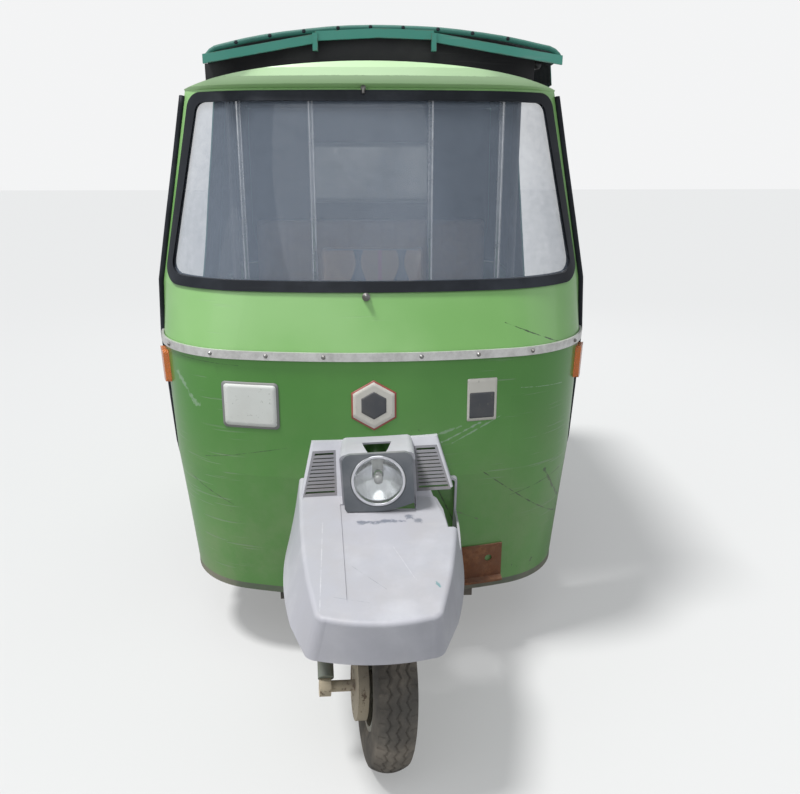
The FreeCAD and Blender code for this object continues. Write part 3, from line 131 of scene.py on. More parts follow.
def makeCamera(want):
    data = bpy.data.cameras.new("frontCamera")
    data.lens = want["lens"]
    data.clip_start = 0.05
    data.clip_end = 60
    camera = bpy.data.objects.new("frontCamera", data)
    scene.collection.objects.link(camera)
    camera.location = want["spot"]
    camera.rotation_euler = (math.radians(90 - want["down"]), 0, math.radians(want["turn"]))
    scene.camera = camera


lightSet = {
    "sky": (0.80, 0.86, 0.95),
    "skyStrength": 0.42,
    "shown": (0.90, 0.905, 0.91),   # what the camera and glass see behind the vehicle
    "glossShare": 0.4,              # how much of it the gloss sees
    "sunStrength": 3.4,
    "sunSoft": 12.0,
    "sunTurn": (4.0, -22.0, 0.0),
    "fillPower": 15.0,
    "fillSize": 2.4,
    "fillAim": (0, 0, 0.9),
    "fills": (("fillLeft", (-3.2, -3.0, 2.4), 1.0), ("fillRight", (3.6, -1.2, 2.0), 0.7),
              ("fillBack", (0.5, 4.2, 3.0), 1.3), ("fillBrow", (-0.3, -2.9, 3.5), 1.6)),
}


def makeWorld(want):
    world = bpy.data.worlds.new("studioWorld")
    scene.world = world
    world.use_nodes = True
    tree = world.node_tree
    tree.nodes.clear()
    path = addNode(tree, "ShaderNodeLightPath").outputs
    lit = addNode(tree, "ShaderNodeBackground", {"Color": (*want["sky"], 1), "Strength": want["skyStrength"]})
    shown = addNode(tree, "ShaderNodeBackground", {"Color": (*want["shown"], 1)})
    seen = calc(tree, "ADD", path["Is Camera Ray"], path["Is Transmission Ray"])
    total = calc(tree, "ADD", seen, times(tree, path["Is Glossy Ray"], want["glossShare"]), clamp=True)
    mix = addNode(tree, "ShaderNodeMixShader", {"Fac": total, 1: lit.outputs[0], 2: shown.outputs[0]})
    addNode(tree, "ShaderNodeOutputWorld", {"Surface": mix.outputs[0]})


def makeLamps(want):
    sun = bpy.data.lights.new("softSun", "SUN")
    sun.energy = want["sunStrength"]
    sun.angle = math.radians(want["sunSoft"])
    sunObject = bpy.data.objects.new("softSun", sun)
    sunObject.rotation_euler = [math.radians(angle) for angle in want["sunTurn"]]
    scene.collection.objects.link(sunObject)
    for name, spot, power in want["fills"]:
        lamp = bpy.data.lights.new(name, "AREA")
        lamp.shape = "DISK"
        lamp.size = want["fillSize"]
        lamp.energy = want["fillPower"] * power
        made = bpy.data.objects.new(name, lamp)
        made.location = spot
        made.rotation_euler = (Vector(want["fillAim"]) - Vector(spot)).to_track_quat("-Z", "Y").to_euler()
        scene.collection.objects.link(made)


floorSet = {"half": 30.0, "color": (0.40, 0.40, 0.395), "lift": 0.72}


def makeFloor(want):
    half, color = want["half"], (*want["color"], 1)
    mesh = bpy.data.meshes.new("studioFloor")
    corners = [(-half, -half, 0), (half, -half, 0), (half, half, 0), (-half, half, 0)]
    mesh.from_pydata(corners, [], [(0, 1, 2, 3)])
    floor = bpy.data.objects.new("studioFloor", mesh)
    scene.collection.objects.link(floor)
    material = bpy.data.materials.new("paleFloor")
    material.use_nodes = True
    tree = material.node_tree
    tree.nodes.clear()
    strength = times(tree, addNode(tree, "ShaderNodeLightPath").outputs["Is Camera Ray"], want["lift"])
    plain = addNode(tree, "ShaderNodeBsdfDiffuse", {"Color": color})
    glow = addNode(tree, "ShaderNodeEmission", {"Color": color, "Strength": strength})
    both = addNode(tree, "ShaderNodeAddShader", {0: plain.outputs[0], 1: glow.outputs[0]})
    addNode(tree, "ShaderNodeOutputMaterial", {"Surface": both.outputs[0]})
    mesh.materials.append(material)


makeCamera(cameraSet)
makeWorld(lightSet)
makeLamps(lightSet)
makeFloor(floorSet)
scene.view_settings.view_transform = "Standard"
print("stage: camera, light and floor")


# Shared effects

def newGroup(name, output, **inputs):
    tree = bpy.data.node_groups.new(name, "ShaderNodeTree")
    for label, value in inputs.items():
        tree.interface.new_socket(label, in_out="INPUT", socket_type="NodeSocketFloat").default_value = value
    tree.interface.new_socket(output, in_out="OUTPUT", socket_type="NodeSocketFloat")
    given = tree.nodes.new("NodeGroupInput").outputs
    return tree, given, tree.nodes.new("NodeGroupOutput").inputs[output]


def makeDustGroup():
    tree, given, out = newGroup("roadDust", "Mask", Scale=7.0, Amount=0.5, Top=0.9)
    place = addNode(tree, "ShaderNodeTexCoord").outputs
    lying = spread(tree, axesOf(tree, place["Normal"])["Z"], 0.25, 0.95)
    fall = {"Value": axesOf(tree, place["Object"])["Z"], "From Min": given["Top"], "From Max": 0.1}
    splashed = addNode(tree, "ShaderNodeMapRange", fall).outputs[0]
    broken = spread(tree, cloudy(tree, place["Object"], given["Scale"], 6.0, 0.65), 0.35, 0.7)
    both = calc(tree, "ADD", times(tree, lying, 0.65), splashed)
    mask = times(tree, timesPlus(tree, broken, 0.75, 0.25), both)
    tree.links.new(times(tree, mask, given["Amount"], clamp=True), out)
    return tree


def makeWearGroup():
    tree, given, out = newGroup("edgeWear", "Mask", Radius=0.004, Amount=0.6, Scale=30.0)
    rounded = addNode(tree, "ShaderNodeBevel", {"Radius": given["Radius"]}, samples=4).outputs[0]
    flat = addNode(tree, "ShaderNodeNewGeometry").outputs["Normal"]
    edge = spread(tree, vectorCalc(tree, "DOT_PRODUCT", {0: rounded, 1: flat}, "Value"), 0.995, 0.9)
    broken = spread(tree, cloudy(tree, objectPlace(tree), given["Scale"], 5.0, 0.7), 0.45, 0.62)
    tree.links.new(times(tree, times(tree, edge, broken), given["Amount"], clamp=True), out)
    return tree


def makeScratchGroup():
    tree, given, out = newGroup("longScratches", "Mask", Scale=3.0, Amount=0.5)
    place = objectPlace(tree)
    lines = []
    for turn, seed in ((0.25, 0.0), (-0.5, 4.0), (1.2, 9.0)):
        drawn = addNode(tree, "ShaderNodeMapping", {"Vector": place, "Rotation": (0.0, turn, 0.0),
                                                    "Location": (seed, 0.0, seed), "Scale": (1.0, 1.0, 34.0)})
        lines.append(spread(tree, cloudy(tree, drawn.outputs[0], given["Scale"], 3.0), 0.66, 0.69))
    some = spread(tree, cloudy(tree, place, 3.1, 2.0), 0.5, 0.66)
    every = larger(tree, larger(tree, lines[0], lines[1]), lines[2])
    tree.links.new(times(tree, times(tree, every, some), given["Amount"], clamp=True), out)
    return tree


def makeChipGroup():
    tree, given, out = newGroup("paintChips", "Mask", Scale=40.0, Amount=0.5, Cover=0.5)
    place = objectPlace(tree)
    fine = cloudy(tree, place, given["Scale"], 8.0, 0.72)
    coarse = cloudy(tree, place, 2.3, 3.0)
    edge = timesPlus(tree, given["Cover"], -0.25, 0.86)
    together = timesPlus(tree, coarse, 0.42, times(tree, fine, 0.62))
    chips = times(tree, minus(tree, together, times(tree, edge, 0.86)), 42.0, clamp=True)
    tree.links.new(times(tree, chips, given["Amount"], clamp=True), out)
    return tree


def makeWeaveGroup():
    tree, given, out = newGroup("clothWeave", "Height", Threads=900.0)
    place = axesOf(tree, objectPlace(tree))
    along = calc(tree, "ADD", place["Y"], place["Z"])
    warp = calc(tree, "SINE", times(tree, place["X"], given["Threads"]))
    weft = calc(tree, "SINE", times(tree, along, given["Threads"]))
    tree.links.new(timesPlus(tree, times(tree, warp, weft), 0.5, 0.5), out)
    return tree


def makeGrainGroup():
    tree, given, out = newGroup("mouldedGrain", "Height", Scale=300.0)
    place = objectPlace(tree)
    inputs = {"Vector": place, "Scale": given["Scale"]}
    cells = addNode(tree, "ShaderNodeTexVoronoi", inputs, feature="SMOOTH_F1")
    soft = cloudy(tree, place, times(tree, given["Scale"], 0.4), 3.0)
    tree.links.new(timesPlus(tree, cells.outputs["Distance"], 0.7, times(tree, soft, 0.5)), out)
    return tree


effects = {
    "dust": makeDustGroup(),
    "wear": makeWearGroup(),
    "scratch": makeScratchGroup(),
    "chip": makeChipGroup(),
    "weave": makeWeaveGroup(),
    "grain": makeGrainGroup(),
}


def effect(tree, name, **inputs):
    made = tree.nodes.new("ShaderNodeGroup")
    made.node_tree = effects[name]
    return fill(tree, made, inputs).outputs[0]


def startMaterial(name):
    material = bpy.data.materials.new(name)
    material.use_nodes = True
    tree = material.node_tree
    return material, tree, tree.nodes["Principled BSDF"], objectPlace(tree)


def lineMask(tree, place, mark):
    startX, startZ, endX, endZ, width, amount = mark[:6]
    along = Vector((endX - startX, 0.0, endZ - startZ))
    flat = vectorCalc(tree, "MULTIPLY", {0: place, 1: (1.0, 0.0, 1.0)})
    off = vectorCalc(tree, "SUBTRACT", {0: flat, 1: (startX, 0.0, startZ)})
    share = vectorCalc(tree, "DOT_PRODUCT", {0: off, 1: tuple(along / along.length_squared)}, "Value")
    near = vectorCalc(tree, "SCALE", {0: tuple(along), "Scale": times(tree, share, 1.0, clamp=True)})
    away = vectorCalc(tree, "DISTANCE", {0: off, 1: near}, "Value")
    ragged = minus(tree, cloudy(tree, place, 42.0, 5.0, 0.7), 0.42)
    away = timesPlus(tree, ragged, width * 4.0, away)
    return times(tree, spread(tree, away, width, width * 0.4), amount)


def addMarks(tree, place, color, marks, level=False):
    if not marks:
        return color
    axes = axesOf(tree, place)
    ahead = spread(tree, axes["Y"], 0.0, -0.05)
    if level:                       # on a level face the marks are placed by x and y
        place = addNode(tree, "ShaderNodeCombineXYZ", {0: axes["X"], 2: axes["Y"]}).outputs[0]
    for mark in marks:
        color = blendColor(tree, times(tree, lineMask(tree, place, mark), ahead), color, mark[6])
    return color


def bumped(tree, shader, height, distance, strength):
    bump = addNode(tree, "ShaderNodeBump", {"Height": height, "Distance": distance, "Strength": strength})
    tree.links.new(bump.outputs["Normal"], shader.inputs["Normal"])


# Finishes: each table starts with the names of its columns

def tableOf(columns, rows):
    return {name: dict(zip(columns.split(), values)) for name, values in rows.items()}


dustColor, rustColor = (0.36, 0.31, 0.25), (0.165, 0.058, 0.022)
paleScuff, darkScuff, bareScuff = (0.30, 0.42, 0.30), (0.018, 0.030, 0.018), (0.10, 0.11, 0.07)
cowlMarks = [                       # from x, z to x, z, width, strength and colour
    (0.190, 0.704, 0.300, 0.756, 0.0045, 0.75, paleScuff),
    (0.220, 0.700, 0.362, 0.772, 0.0030, 0.65, paleScuff),
    (0.175, 0.728, 0.245, 0.748, 0.0060, 0.55, paleScuff),
    (0.369, 1.037, 0.633, 0.928, 0.0022, 0.85, darkScuff),
    (0.303, 0.613, 0.573, 0.401, 0.0024, 0.80, darkScuff),
    (0.512, 0.577, 0.576, 0.455, 0.0070, 0.70, darkScuff),
    (-0.578, 0.874, -0.515, 0.795, 0.0110, 0.55, paleScuff),
    (0.400, 0.520, 0.585, 0.560, 0.0020, 0.70, darkScuff),
    (-0.560, 0.560, -0.420, 0.500, 0.0024, 0.60, darkScuff),
    (-0.500, 0.640, -0.250, 0.690, 0.0018, 0.55, darkScuff),
    (0.180, 0.560, 0.240, 0.430, 0.0040, 0.75, darkScuff),
    (0.205, 0.500, 0.300, 0.455, 0.0034, 0.60, bareScuff),
    (-0.610, 0.935, -0.380, 0.925, 0.0016, 0.50, darkScuff),
    (0.420, 0.850, 0.560, 0.838, 0.0018, 0.50, paleScuff),
]

paints = tableOf("color faded under rough coat scratch chip cover wear dust", {
    "cowlPaint": ((0.066, 0.232, 0.034), (0.092, 0.275, 0.052), (0.030, 0.035, 0.030),
                  0.34, 0.30, 0.7, 0.7, 0.35, 0.5, 0.5),
    "bandPaint": ((0.190, 0.420, 0.115), (0.260, 0.490, 0.175), (0.045, 0.050, 0.040),
                  0.36, 0.30, 0.4, 0.5, 0.22, 0.4, 0.3),
    "floorPaint": ((0.045, 0.090, 0.045), (0.075, 0.105, 0.070), (0.10, 0.09, 0.08),
                   0.6, 0.0, 0.8, 0.8, 0.6, 0.8, 0.9),
    "chassisPaint": ((0.020, 0.020, 0.020), (0.035, 0.034, 0.032), (0.13, 0.055, 0.025),
                     0.55, 0.0, 0.3, 0.8, 0.6, 0.8, 0.9),
    "seatBoxPaint": ((0.52, 0.42, 0.24), (0.58, 0.49, 0.32), (0.09, 0.06, 0.04),
                     0.45, 0.15, 0.7, 0.7, 0.45, 0.8, 0.6),
    "framePaint": ((0.018, 0.018, 0.020), (0.030, 0.030, 0.032), (0.14, 0.07, 0.04),
                   0.42, 0.1, 0.3, 0.7, 0.45, 0.7, 0.4),
    "railPaint": ((0.035, 0.245, 0.180), (0.080, 0.300, 0.235), (0.13, 0.07, 0.045),
                  0.42, 0.15, 0.6, 0.9, 0.5, 0.8, 0.3),
    "forkPaint": ((0.170, 0.210, 0.170), (0.240, 0.270, 0.230), (0.10, 0.06, 0.04),
                  0.55, 0.0, 0.4, 0.9, 0.7, 0.9, 1.0),
    "linkPaint": ((0.55, 0.46, 0.31), (0.62, 0.55, 0.42), (0.16, 0.10, 0.06),
                  0.6, 0.0, 0.4, 1.0, 0.8, 0.9, 0.8),
    "rimPaint": ((0.215, 0.250, 0.215), (0.30, 0.33, 0.29), (0.13, 0.08, 0.05),
                 0.55, 0.0, 0.5, 0.9, 0.6, 0.8, 1.0),
    "castIron": ((0.075, 0.073, 0.070), (0.12, 0.11, 0.10), (0.11, 0.06, 0.04),
                 0.7, 0.0, 0.0, 0.7, 0.6, 0.5, 0.9),
})
paints["cowlPaint"]["marks"] = cowlMarks
paints["bandPaint"]["marks"] = cowlMarks[3:4] + cowlMarks[-2:-1]
# painted highlight on the brow above the windscreen: a lighter green standing in for light on it
paints["bandPaint"]["bleached"] = (0.52, 0.74, 0.42)


def makePaint(name, want):
    material, tree, shader, place = startMaterial(name)
    clouds = cloudy(tree, place, 1.7, 4.0)
    color = blendColor(tree, spread(tree, clouds, 0.38, 0.68), want["color"], want["faded"])
    scratches = effect(tree, "scratch", Scale=3.0, Amount=want["scratch"])
    chips = effect(tree, "chip", Scale=38.0, Amount=want["chip"], Cover=want["cover"])
    worn = effect(tree, "wear", Radius=0.004, Amount=want["wear"], Scale=30.0)
    dust = effect(tree, "dust", Scale=6.0, Amount=want["dust"], Top=0.85)
    bare = larger(tree, chips, worn)
    pale = [0.5 * value + 0.16 for value in want["faded"]]
    color = blendColor(tree, times(tree, scratches, 0.7), color, pale)
    color = addMarks(tree, place, color, want.get("marks"))
    if "bleached" in want:          # painted highlight: the brow above the windscreen is lightened from z 1.655 up, standing in for light falling on it
        height = axesOf(tree, place)["Z"]
        color = blendColor(tree, spread(tree, height, 1.655, 1.70), color, want["bleached"])
    color = blendColor(tree, bare, color, want["under"])
    color = blendColor(tree, times(tree, dust, 0.75), color, dustColor)
    rough = timesPlus(tree, clouds, 0.18, want["rough"] - 0.09)
    rough = timesPlus(tree, larger(tree, bare, dust), 0.35, rough, clamp=True)
    fill(tree, shader, {"Base Color": color, "Roughness": rough})
    if want["coat"]:
        clean = minus(tree, 1.0, larger(tree, bare, dust), clamp=True)
        fill(tree, shader, {"Coat Roughness": 0.12, "Coat Weight": times(tree, clean, want["coat"])})
    orangePeel = times(tree, cloudy(tree, place, 160.0, 2.0), 0.12)
    bumped(tree, shader, minus(tree, orangePeel, larger(tree, scratches, bare)), 0.0007, 0.6)
    return material


barePlastic, palePlastic, oldPaint = (0.13, 0.15, 0.19), (0.62, 0.62, 0.64), (0.05, 0.23, 0.25)
noseMarks = [                       # from x, y to x, y, width, strength and colour
    (-0.048, -0.928, 0.066, -0.922, 0.0150, 0.85, barePlastic),
    (0.085, -0.905, 0.112, -0.925, 0.0180, 0.85, barePlastic),
    (0.136, -1.190, 0.142, -1.210, 0.0060, 0.75, oldPaint),
    (-0.140, -0.930, -0.128, -1.300, 0.0016, 0.5, palePlastic),
    (-0.060, -1.120, 0.020, -1.210, 0.0012, 0.5, barePlastic),
    (0.040, -1.040, 0.090, -1.180, 0.0014, 0.5, palePlastic),
    (-0.100, -1.240, -0.020, -1.262, 0.0012, 0.4, barePlastic),
]

mouldings = tableOf("color pale rough grain deep dust scratch", {
    "gasketRubber": ((0.012, 0.014, 0.018), (0.030, 0.034, 0.042), 0.55, 220.0, 0.0003, 0.06, 0.15),
    "liningPlastic": ((0.012, 0.012, 0.014), (0.03, 0.03, 0.03), 0.7, 200.0, 0.0003, 0.4, 0.1),
    "nosePlastic": ((0.400, 0.400, 0.435), (0.50, 0.50, 0.53), 0.46, 420.0, 0.00025, 0.28, 0.8),
    "louvrePlastic": ((0.135, 0.135, 0.155), (0.20, 0.20, 0.22), 0.55, 380.0, 0.0003, 0.5, 0.3),
    "bezelPlastic": ((0.115, 0.130, 0.145), (0.22, 0.23, 0.24), 0.45, 360.0, 0.0003, 0.4, 0.7),
    "tyreRubber": ((0.030, 0.030, 0.029), (0.085, 0.082, 0.075), 0.82, 260.0, 0.0006, 0.9, 0.0),
    "seatCover": ((0.400, 0.270, 0.190), (0.47, 0.34, 0.25), 0.42, 430.0, 0.0005, 0.15, 0.2),
})
mouldings["gasketRubber"]["gloss"] = 0.15
mouldings["nosePlastic"]["marks"] = noseMarks


def makeMoulding(name, want):
    material, tree, shader, place = startMaterial(name)
    clouds = cloudy(tree, place, 4.5, 6.0, 0.6)
    color = blendColor(tree, spread(tree, clouds, 0.40, 0.72), want["color"], want["pale"])
    scratches = effect(tree, "scratch", Scale=4.0, Amount=want["scratch"])
    dust = effect(tree, "dust", Scale=8.0, Amount=want["dust"], Top=0.8)
    grain = effect(tree, "grain", Scale=want["grain"])
    pale = [0.6 * value + 0.14 for value in want["pale"]]
    color = blendColor(tree, times(tree, scratches, 0.6), color, pale)
    color = addMarks(tree, place, color, want.get("marks"), level=True)
    color = blendColor(tree, times(tree, dust, 0.7), color, dustColor)
    rough = timesPlus(tree, dust, 0.3, timesPlus(tree, clouds, 0.16, want["rough"] - 0.08), clamp=True)
    gloss = want.get("gloss", 0.4)
    fill(tree, shader, {"Base Color": color, "Roughness": rough, "Specular IOR Level": gloss})
    bumped(tree, shader, minus(tree, grain, times(tree, scratches, 0.8)), want["deep"], 0.6)
    return material


metals = tableOf("color dull rough metallic rust dust", {
    "trimMetal": ((0.74, 0.73, 0.71), (0.52, 0.51, 0.49), 0.36, 0.5, 0.12, 0.2),
    "railSteel": ((0.58, 0.58, 0.58), (0.35, 0.34, 0.33), 0.26, 1.0, 0.35, 0.2),
    "reflector": ((0.85, 0.86, 0.88), (0.70, 0.71, 0.72), 0.08, 1.0, 0.0, 0.05),
    "boltSteel": ((0.30, 0.30, 0.30), (0.16, 0.14, 0.12), 0.42, 0.9, 0.6, 0.2),
    "rustySteel": ((0.145, 0.052, 0.022), (0.26, 0.105, 0.040), 0.85, 0.1, 1.0, 0.3),
})


def makeMetal(name, want):
    material, tree, shader, place = startMaterial(name)
    clouds = cloudy(tree, place, 22.0, 8.0, 0.7)
    color = blendColor(tree, spread(tree, clouds, 0.35, 0.7), want["color"], want["dull"])
    rust = effect(tree, "chip", Scale=60.0, Amount=1.0, Cover=want["rust"])
    rust = times(tree, rust, min(1.0, want["rust"] * 2.0), clamp=True)
    dust = effect(tree, "dust", Scale=9.0, Amount=want["dust"], Top=0.8)
    color = blendColor(tree, rust, color, rustColor)
    color = blendColor(tree, times(tree, dust, 0.7), color, dustColor)
    covered = larger(tree, rust, dust)
    shine = times(tree, minus(tree, 1.0, covered, clamp=True), want["metallic"])
    rough = timesPlus(tree, clouds, 0.22, want["rough"] - 0.11)
    rough = timesPlus(tree, covered, 0.45, rough, clamp=True)
    fill(tree, shader, {"Base Color": color, "Metallic": shine, "Roughness": rough})
    bumped(tree, shader, timesPlus(tree, rust, 0.8, clouds), 0.0008, 0.4)
    return material


cloths = tableOf("color faded rough threads dust", {
    "hoodCloth": ((0.032, 0.225, 0.165), (0.085, 0.310, 0.240), 0.56, 2600.0, 0.55),
    "curtainCloth": ((0.028, 0.200, 0.155), (0.060, 0.255, 0.200), 0.6, 2600.0, 0.5),
    "pipingCloth": ((0.30, 0.20, 0.14), (0.36, 0.26, 0.19), 0.6, 3000.0, 0.4),
    "seamCloth": ((0.018, 0.140, 0.105), (0.045, 0.190, 0.150), 0.55, 3000.0, 0.5),
    "hoodLining": ((0.024, 0.034, 0.044), (0.040, 0.050, 0.062), 0.8, 2200.0, 0.1),
})


def makeCloth(name, want):
    material, tree, shader, place = startMaterial(name)
    clouds = cloudy(tree, place, 2.6, 7.0, 0.6)
    stains = cloudy(tree, place, 14.0, 5.0)
    color = blendColor(tree, spread(tree, clouds, 0.34, 0.7), want["color"], want["faded"])
    dark = [0.55 * value for value in want["color"]]
    color = blendColor(tree, spread(tree, stains, 0.58, 0.75, 0.0, 0.45), color, dark)
    dust = effect(tree, "dust", Scale=5.0, Amount=want["dust"], Top=0.5)
    color = blendColor(tree, times(tree, dust, 0.55), color, dustColor)
    rough = timesPlus(tree, stains, 0.2, want["rough"] - 0.1)
    fill(tree, shader, {"Base Color": color, "Roughness": rough, "Sheen Weight": 0.15})
    weave = effect(tree, "weave", Threads=want["threads"])
    bumped(tree, shader, timesPlus(tree, stains, 0.5, weave), 0.0005, 0.5)
    return material


lenses = tableOf("color rough", {
    "amberLens": ((0.85, 0.22, 0.015), 0.16),
    "redLens": ((0.55, 0.012, 0.010), 0.16),
})


def makeLens(name, want):
    material, tree, shader, place = startMaterial(name)
    axes = axesOf(tree, place)
    ribs = calc(tree, "SINE", times(tree, axes["Z"], 900.0))
    cross = calc(tree, "SINE", times(tree, calc(tree, "ADD", axes["X"], axes["Y"]), 700.0))
    dust = effect(tree, "dust", Scale=10.0, Amount=0.35, Top=1.4)
    fill(tree, shader, {"Base Color": blendColor(tree, times(tree, dust, 0.6), want["color"], dustColor),
                        "Roughness": timesPlus(tree, dust, 0.5, want["rough"]),
                        "Transmission Weight": 0.35, "Coat Weight": 0.5})
    bumped(tree, shader, times(tree, ribs, cross), 0.0012, 0.6)
    return material


panes = tableOf("tint film haze streak", {
    # on the windscreen the veil is painted shade: a grey-blue layer that stands in for the dim cab seen
    # through the glass, and its smears are dust
    "screenGlass": ((0.28, 0.33, 0.40), (0.155, 0.185, 0.235), 0.23, 0.13),
    "rearPane": ((0.40, 0.44, 0.43), (0.30, 0.32, 0.30), 0.62, 0.25),
})


def makePane(name, want):
    material, tree, shader, place = startMaterial(name)
    drawn = addNode(tree, "ShaderNodeMapping", {"Vector": place, "Scale": (1.0, 1.0, 0.35)})
    smear = cloudy(tree, drawn.outputs[0], 3.2, 6.0, 0.55)
    fine = cloudy(tree, place, 45.0, 3.0)
    # the veil is a partly opaque grey layer over the pane, thicker along the smears
    film = timesPlus(tree, spread(tree, smear, 0.35, 0.75), want["streak"], want["haze"])
    film = times(tree, film, timesPlus(tree, fine, 0.5, 0.75), clamp=True)
    fill(tree, shader, {"Base Color": blendColor(tree, film, want["tint"], want["film"]),
                        "Roughness": times(tree, smear, 0.06), "IOR": 1.45, "Specular IOR Level": 0.5,
                        "Alpha": timesPlus(tree, film, 0.9, 0.05, clamp=True)})
    return material


signs = tableOf("color rough dust", {
    "signWhite": ((0.66, 0.68, 0.64), 0.4, 0.35),
    "signGrey": ((0.20, 0.21, 0.20), 0.5, 0.3),
    "signPale": ((0.60, 0.58, 0.52), 0.4, 0.35),
    "signRed": ((0.33, 0.060, 0.045), 0.4, 0.3),
    "signDark": ((0.050, 0.055, 0.065), 0.4, 0.3),
    "bulbGlass": ((0.75, 0.74, 0.70), 0.15, 0.05),
})


def makeSign(name, want):
    material, tree, shader, place = startMaterial(name)
    worn = cloudy(tree, place, 70.0, 6.0, 0.7)
    color = blendColor(tree, spread(tree, worn, 0.60, 0.70, 0.0, 0.5), want["color"], (0.16, 0.17, 0.13))
    dust = effect(tree, "dust", Scale=9.0, Amount=want["dust"], Top=1.3)
    fill(tree, shader, {"Base Color": blendColor(tree, dust, color, dustColor),
                        "Roughness": timesPlus(tree, dust, 0.4, want["rough"])})
    bumped(tree, shader, worn, 0.0003, 0.4)
    return material


vaseSet = {"middle": 0.028, "out": 0.080, "waves": 27.0, "wide": 0.026, "sway": 0.016, "band": (1.146, 1.152)}


def makeBackrestCover(name, base, want):
    material = makeMoulding(name, base)
    tree = material.node_tree
    shader = tree.nodes["Principled BSDF"]
    color = shader.inputs["Base Color"].links[0].from_socket
    axes = axesOf(tree, objectPlace(tree))
    off = calc(tree, "ABSOLUTE", minus(tree, axes["X"], want["middle"]))
    wave = calc(tree, "SINE", times(tree, axes["Z"], want["waves"]))
    width = timesPlus(tree, wave, want["sway"], want["wide"])
    fromVase = minus(tree, calc(tree, "ABSOLUTE", minus(tree, off, want["out"])), width)
    color = blendColor(tree, spread(tree, fromVase, 0.002, -0.002), color, (0.050, 0.085, 0.150))
    color = blendColor(tree, spread(tree, off, 0.008, 0.006), color, (0.46, 0.20, 0.24))
    color = blendColor(tree, spread(tree, axes["Z"], *want["band"]), color, (0.20, 0.25, 0.31))
    fill(tree, shader, {"Base Color": color})
    return material


def makeLampGlass(name):
    material, tree, shader, place = startMaterial(name)
    flutes = calc(tree, "SINE", times(tree, axesOf(tree, place)["X"], 620.0))
    dust = effect(tree, "dust", Scale=14.0, Amount=0.5, Top=1.2)
    fill(tree, shader, {"Base Color": (0.90, 0.92, 0.92, 1), "Roughness": timesPlus(tree, dust, 0.5, 0.05),
                        "Transmission Weight": 0.92, "IOR": 1.45})
    bumped(tree, shader, flutes, 0.0009, 0.7)
    return material


finishes = {"backrestCover": makeBackrestCover("backrestCover", mouldings["seatCover"], vaseSet),
            "lampGlass": makeLampGlass("lampGlass")}
for make, table in ((makeSign, signs), (makePaint, paints), (makeMoulding, mouldings), (makeMetal, metals),
                    (makeCloth, cloths), (makeLens, lenses), (makePane, panes)):
    for label, want in table.items():
        finishes[label] = make(label, want)
print("stage: %d finishes" % len(finishes))

oddFinish = {"trim": "trimMetal", "clear_sheet": "rearPane", "lining": "liningPlastic",
             "lamp_glass": "screenGlass", "rust": "rustySteel", "tyre": "tyreRubber"}


def slotFinish(slot):               # most finishes have their slot's name in camel case
    first, *others = slot.split("_")
    return finishes[oddFinish.get(slot) or first + "".join(word.capitalize() for word in others)]


nodeSlot = {row["node"]: row["material_slot"] for row in frame["record"]["subparts"]}
for name, item in nodes.items():
    item.data.materials.clear()
    item.data.materials.append(slotFinish(nodeSlot[name]))
print("stage: construction finished")


# Shapes

def gridFaces(rows, columns, around=False):
    faces = []
    for row in range(rows - 1):
        for column in range(columns if around else columns - 1):
            here, side = row * columns + column, row * columns + (column + 1) % columns
            faces.append((here, side, side + columns, here + columns))
    return faces


def smoothFaces(mesh):
    mesh.polygons.foreach_set("use_smooth", [True] * len(mesh.polygons))


def newPiece(name, points, faces, body, slot, finish=None):
    mesh = bpy.data.meshes.new(name)
    mesh.from_pydata([tuple(point) for point in points], [], faces)
    mesh.materials.append(finishes[finish] if finish else slotFinish(slot))
    shape = bmesh.new()
    shape.from_mesh(mesh)
    bmesh.ops.remove_doubles(shape, verts=shape.verts, dist=0.00002)
    bmesh.ops.recalc_face_normals(shape, faces=shape.faces)
    shape.to_mesh(mesh)
    shape.free()
    smoothFaces(mesh)
    mesh.update()
    item = bpy.data.objects.new(name, mesh)
    scene.collection.objects.link(item)
    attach(item, body)
    return item


def bake(item):
    shaped = bpy.data.meshes.new_from_object(item.evaluated_get(bpy.context.evaluated_depsgraph_get()))
    item.modifiers.clear()
    item.data = shaped


def faceAway(item, centre):
    mesh = item.data
    away = sum((face.center - Vector(centre)).dot(face.normal) * face.area for face in mesh.polygons)
    if away < 0:
        mesh.flip_normals()


def thicken(item, thick, centre, under=None):
    faceAway(item, centre)
    solid = item.modifiers.new("thickness", "SOLIDIFY")
    solid.thickness = thick
    solid.offset = -1.0
    if under:
        item.data.materials.append(finishes[under])
        solid.material_offset = 1
        solid.material_offset_rim = 0
    bake(item)


def tubeShape(path, radius, sides=8):
    path = [Vector(point) for point in path]
    points, normal = [], None
    for index, point in enumerate(path):
        along = (path[min(index + 1, len(path) - 1)] - path[max(index - 1, 0)]).normalized()
        normal = along.orthogonal() if normal is None else normal
        normal = (normal - along * normal.dot(along)).normalized()
        across = along.cross(normal)
        for step in range(sides):
            angle = math.tau * step / sides
            points.append(point + radius * (math.cos(angle) * normal + math.sin(angle) * across))
    last = len(points) - sides
    ends = [tuple(range(sides - 1, -1, -1)), tuple(range(last, last + sides))]
    return points, gridFaces(len(path), sides, True) + ends


def joined(shapes):
    points, faces = [], []
    for more, sides in shapes:
        start = len(points)
        points += more
        faces += [tuple(start + index for index in side) for side in sides]
    return points, faces


def solidTree(*names):
    solids = []
    for name in names:
        mesh, turn = nodes[name].data, nodes[name].matrix_world
        solids.append(([turn @ vertex.co for vertex in mesh.vertices],
                       [tuple(face.vertices) for face in mesh.polygons]))
    return BVHTree.FromPolygons(*joined(solids))


def hitAndNormal(tree, start, toward):
    start, toward = Vector(start), Vector(toward)
    hit, normal = tree.ray_cast(start, (toward - start).normalized())[:2]
    if hit is None:
        hit, normal = tree.find_nearest(toward.lerp(start, 0.2))[:2]
    return hit, normal


def hitFrom(tree, start, toward):
    return hitAndNormal(tree, start, toward)[0]


# Hood

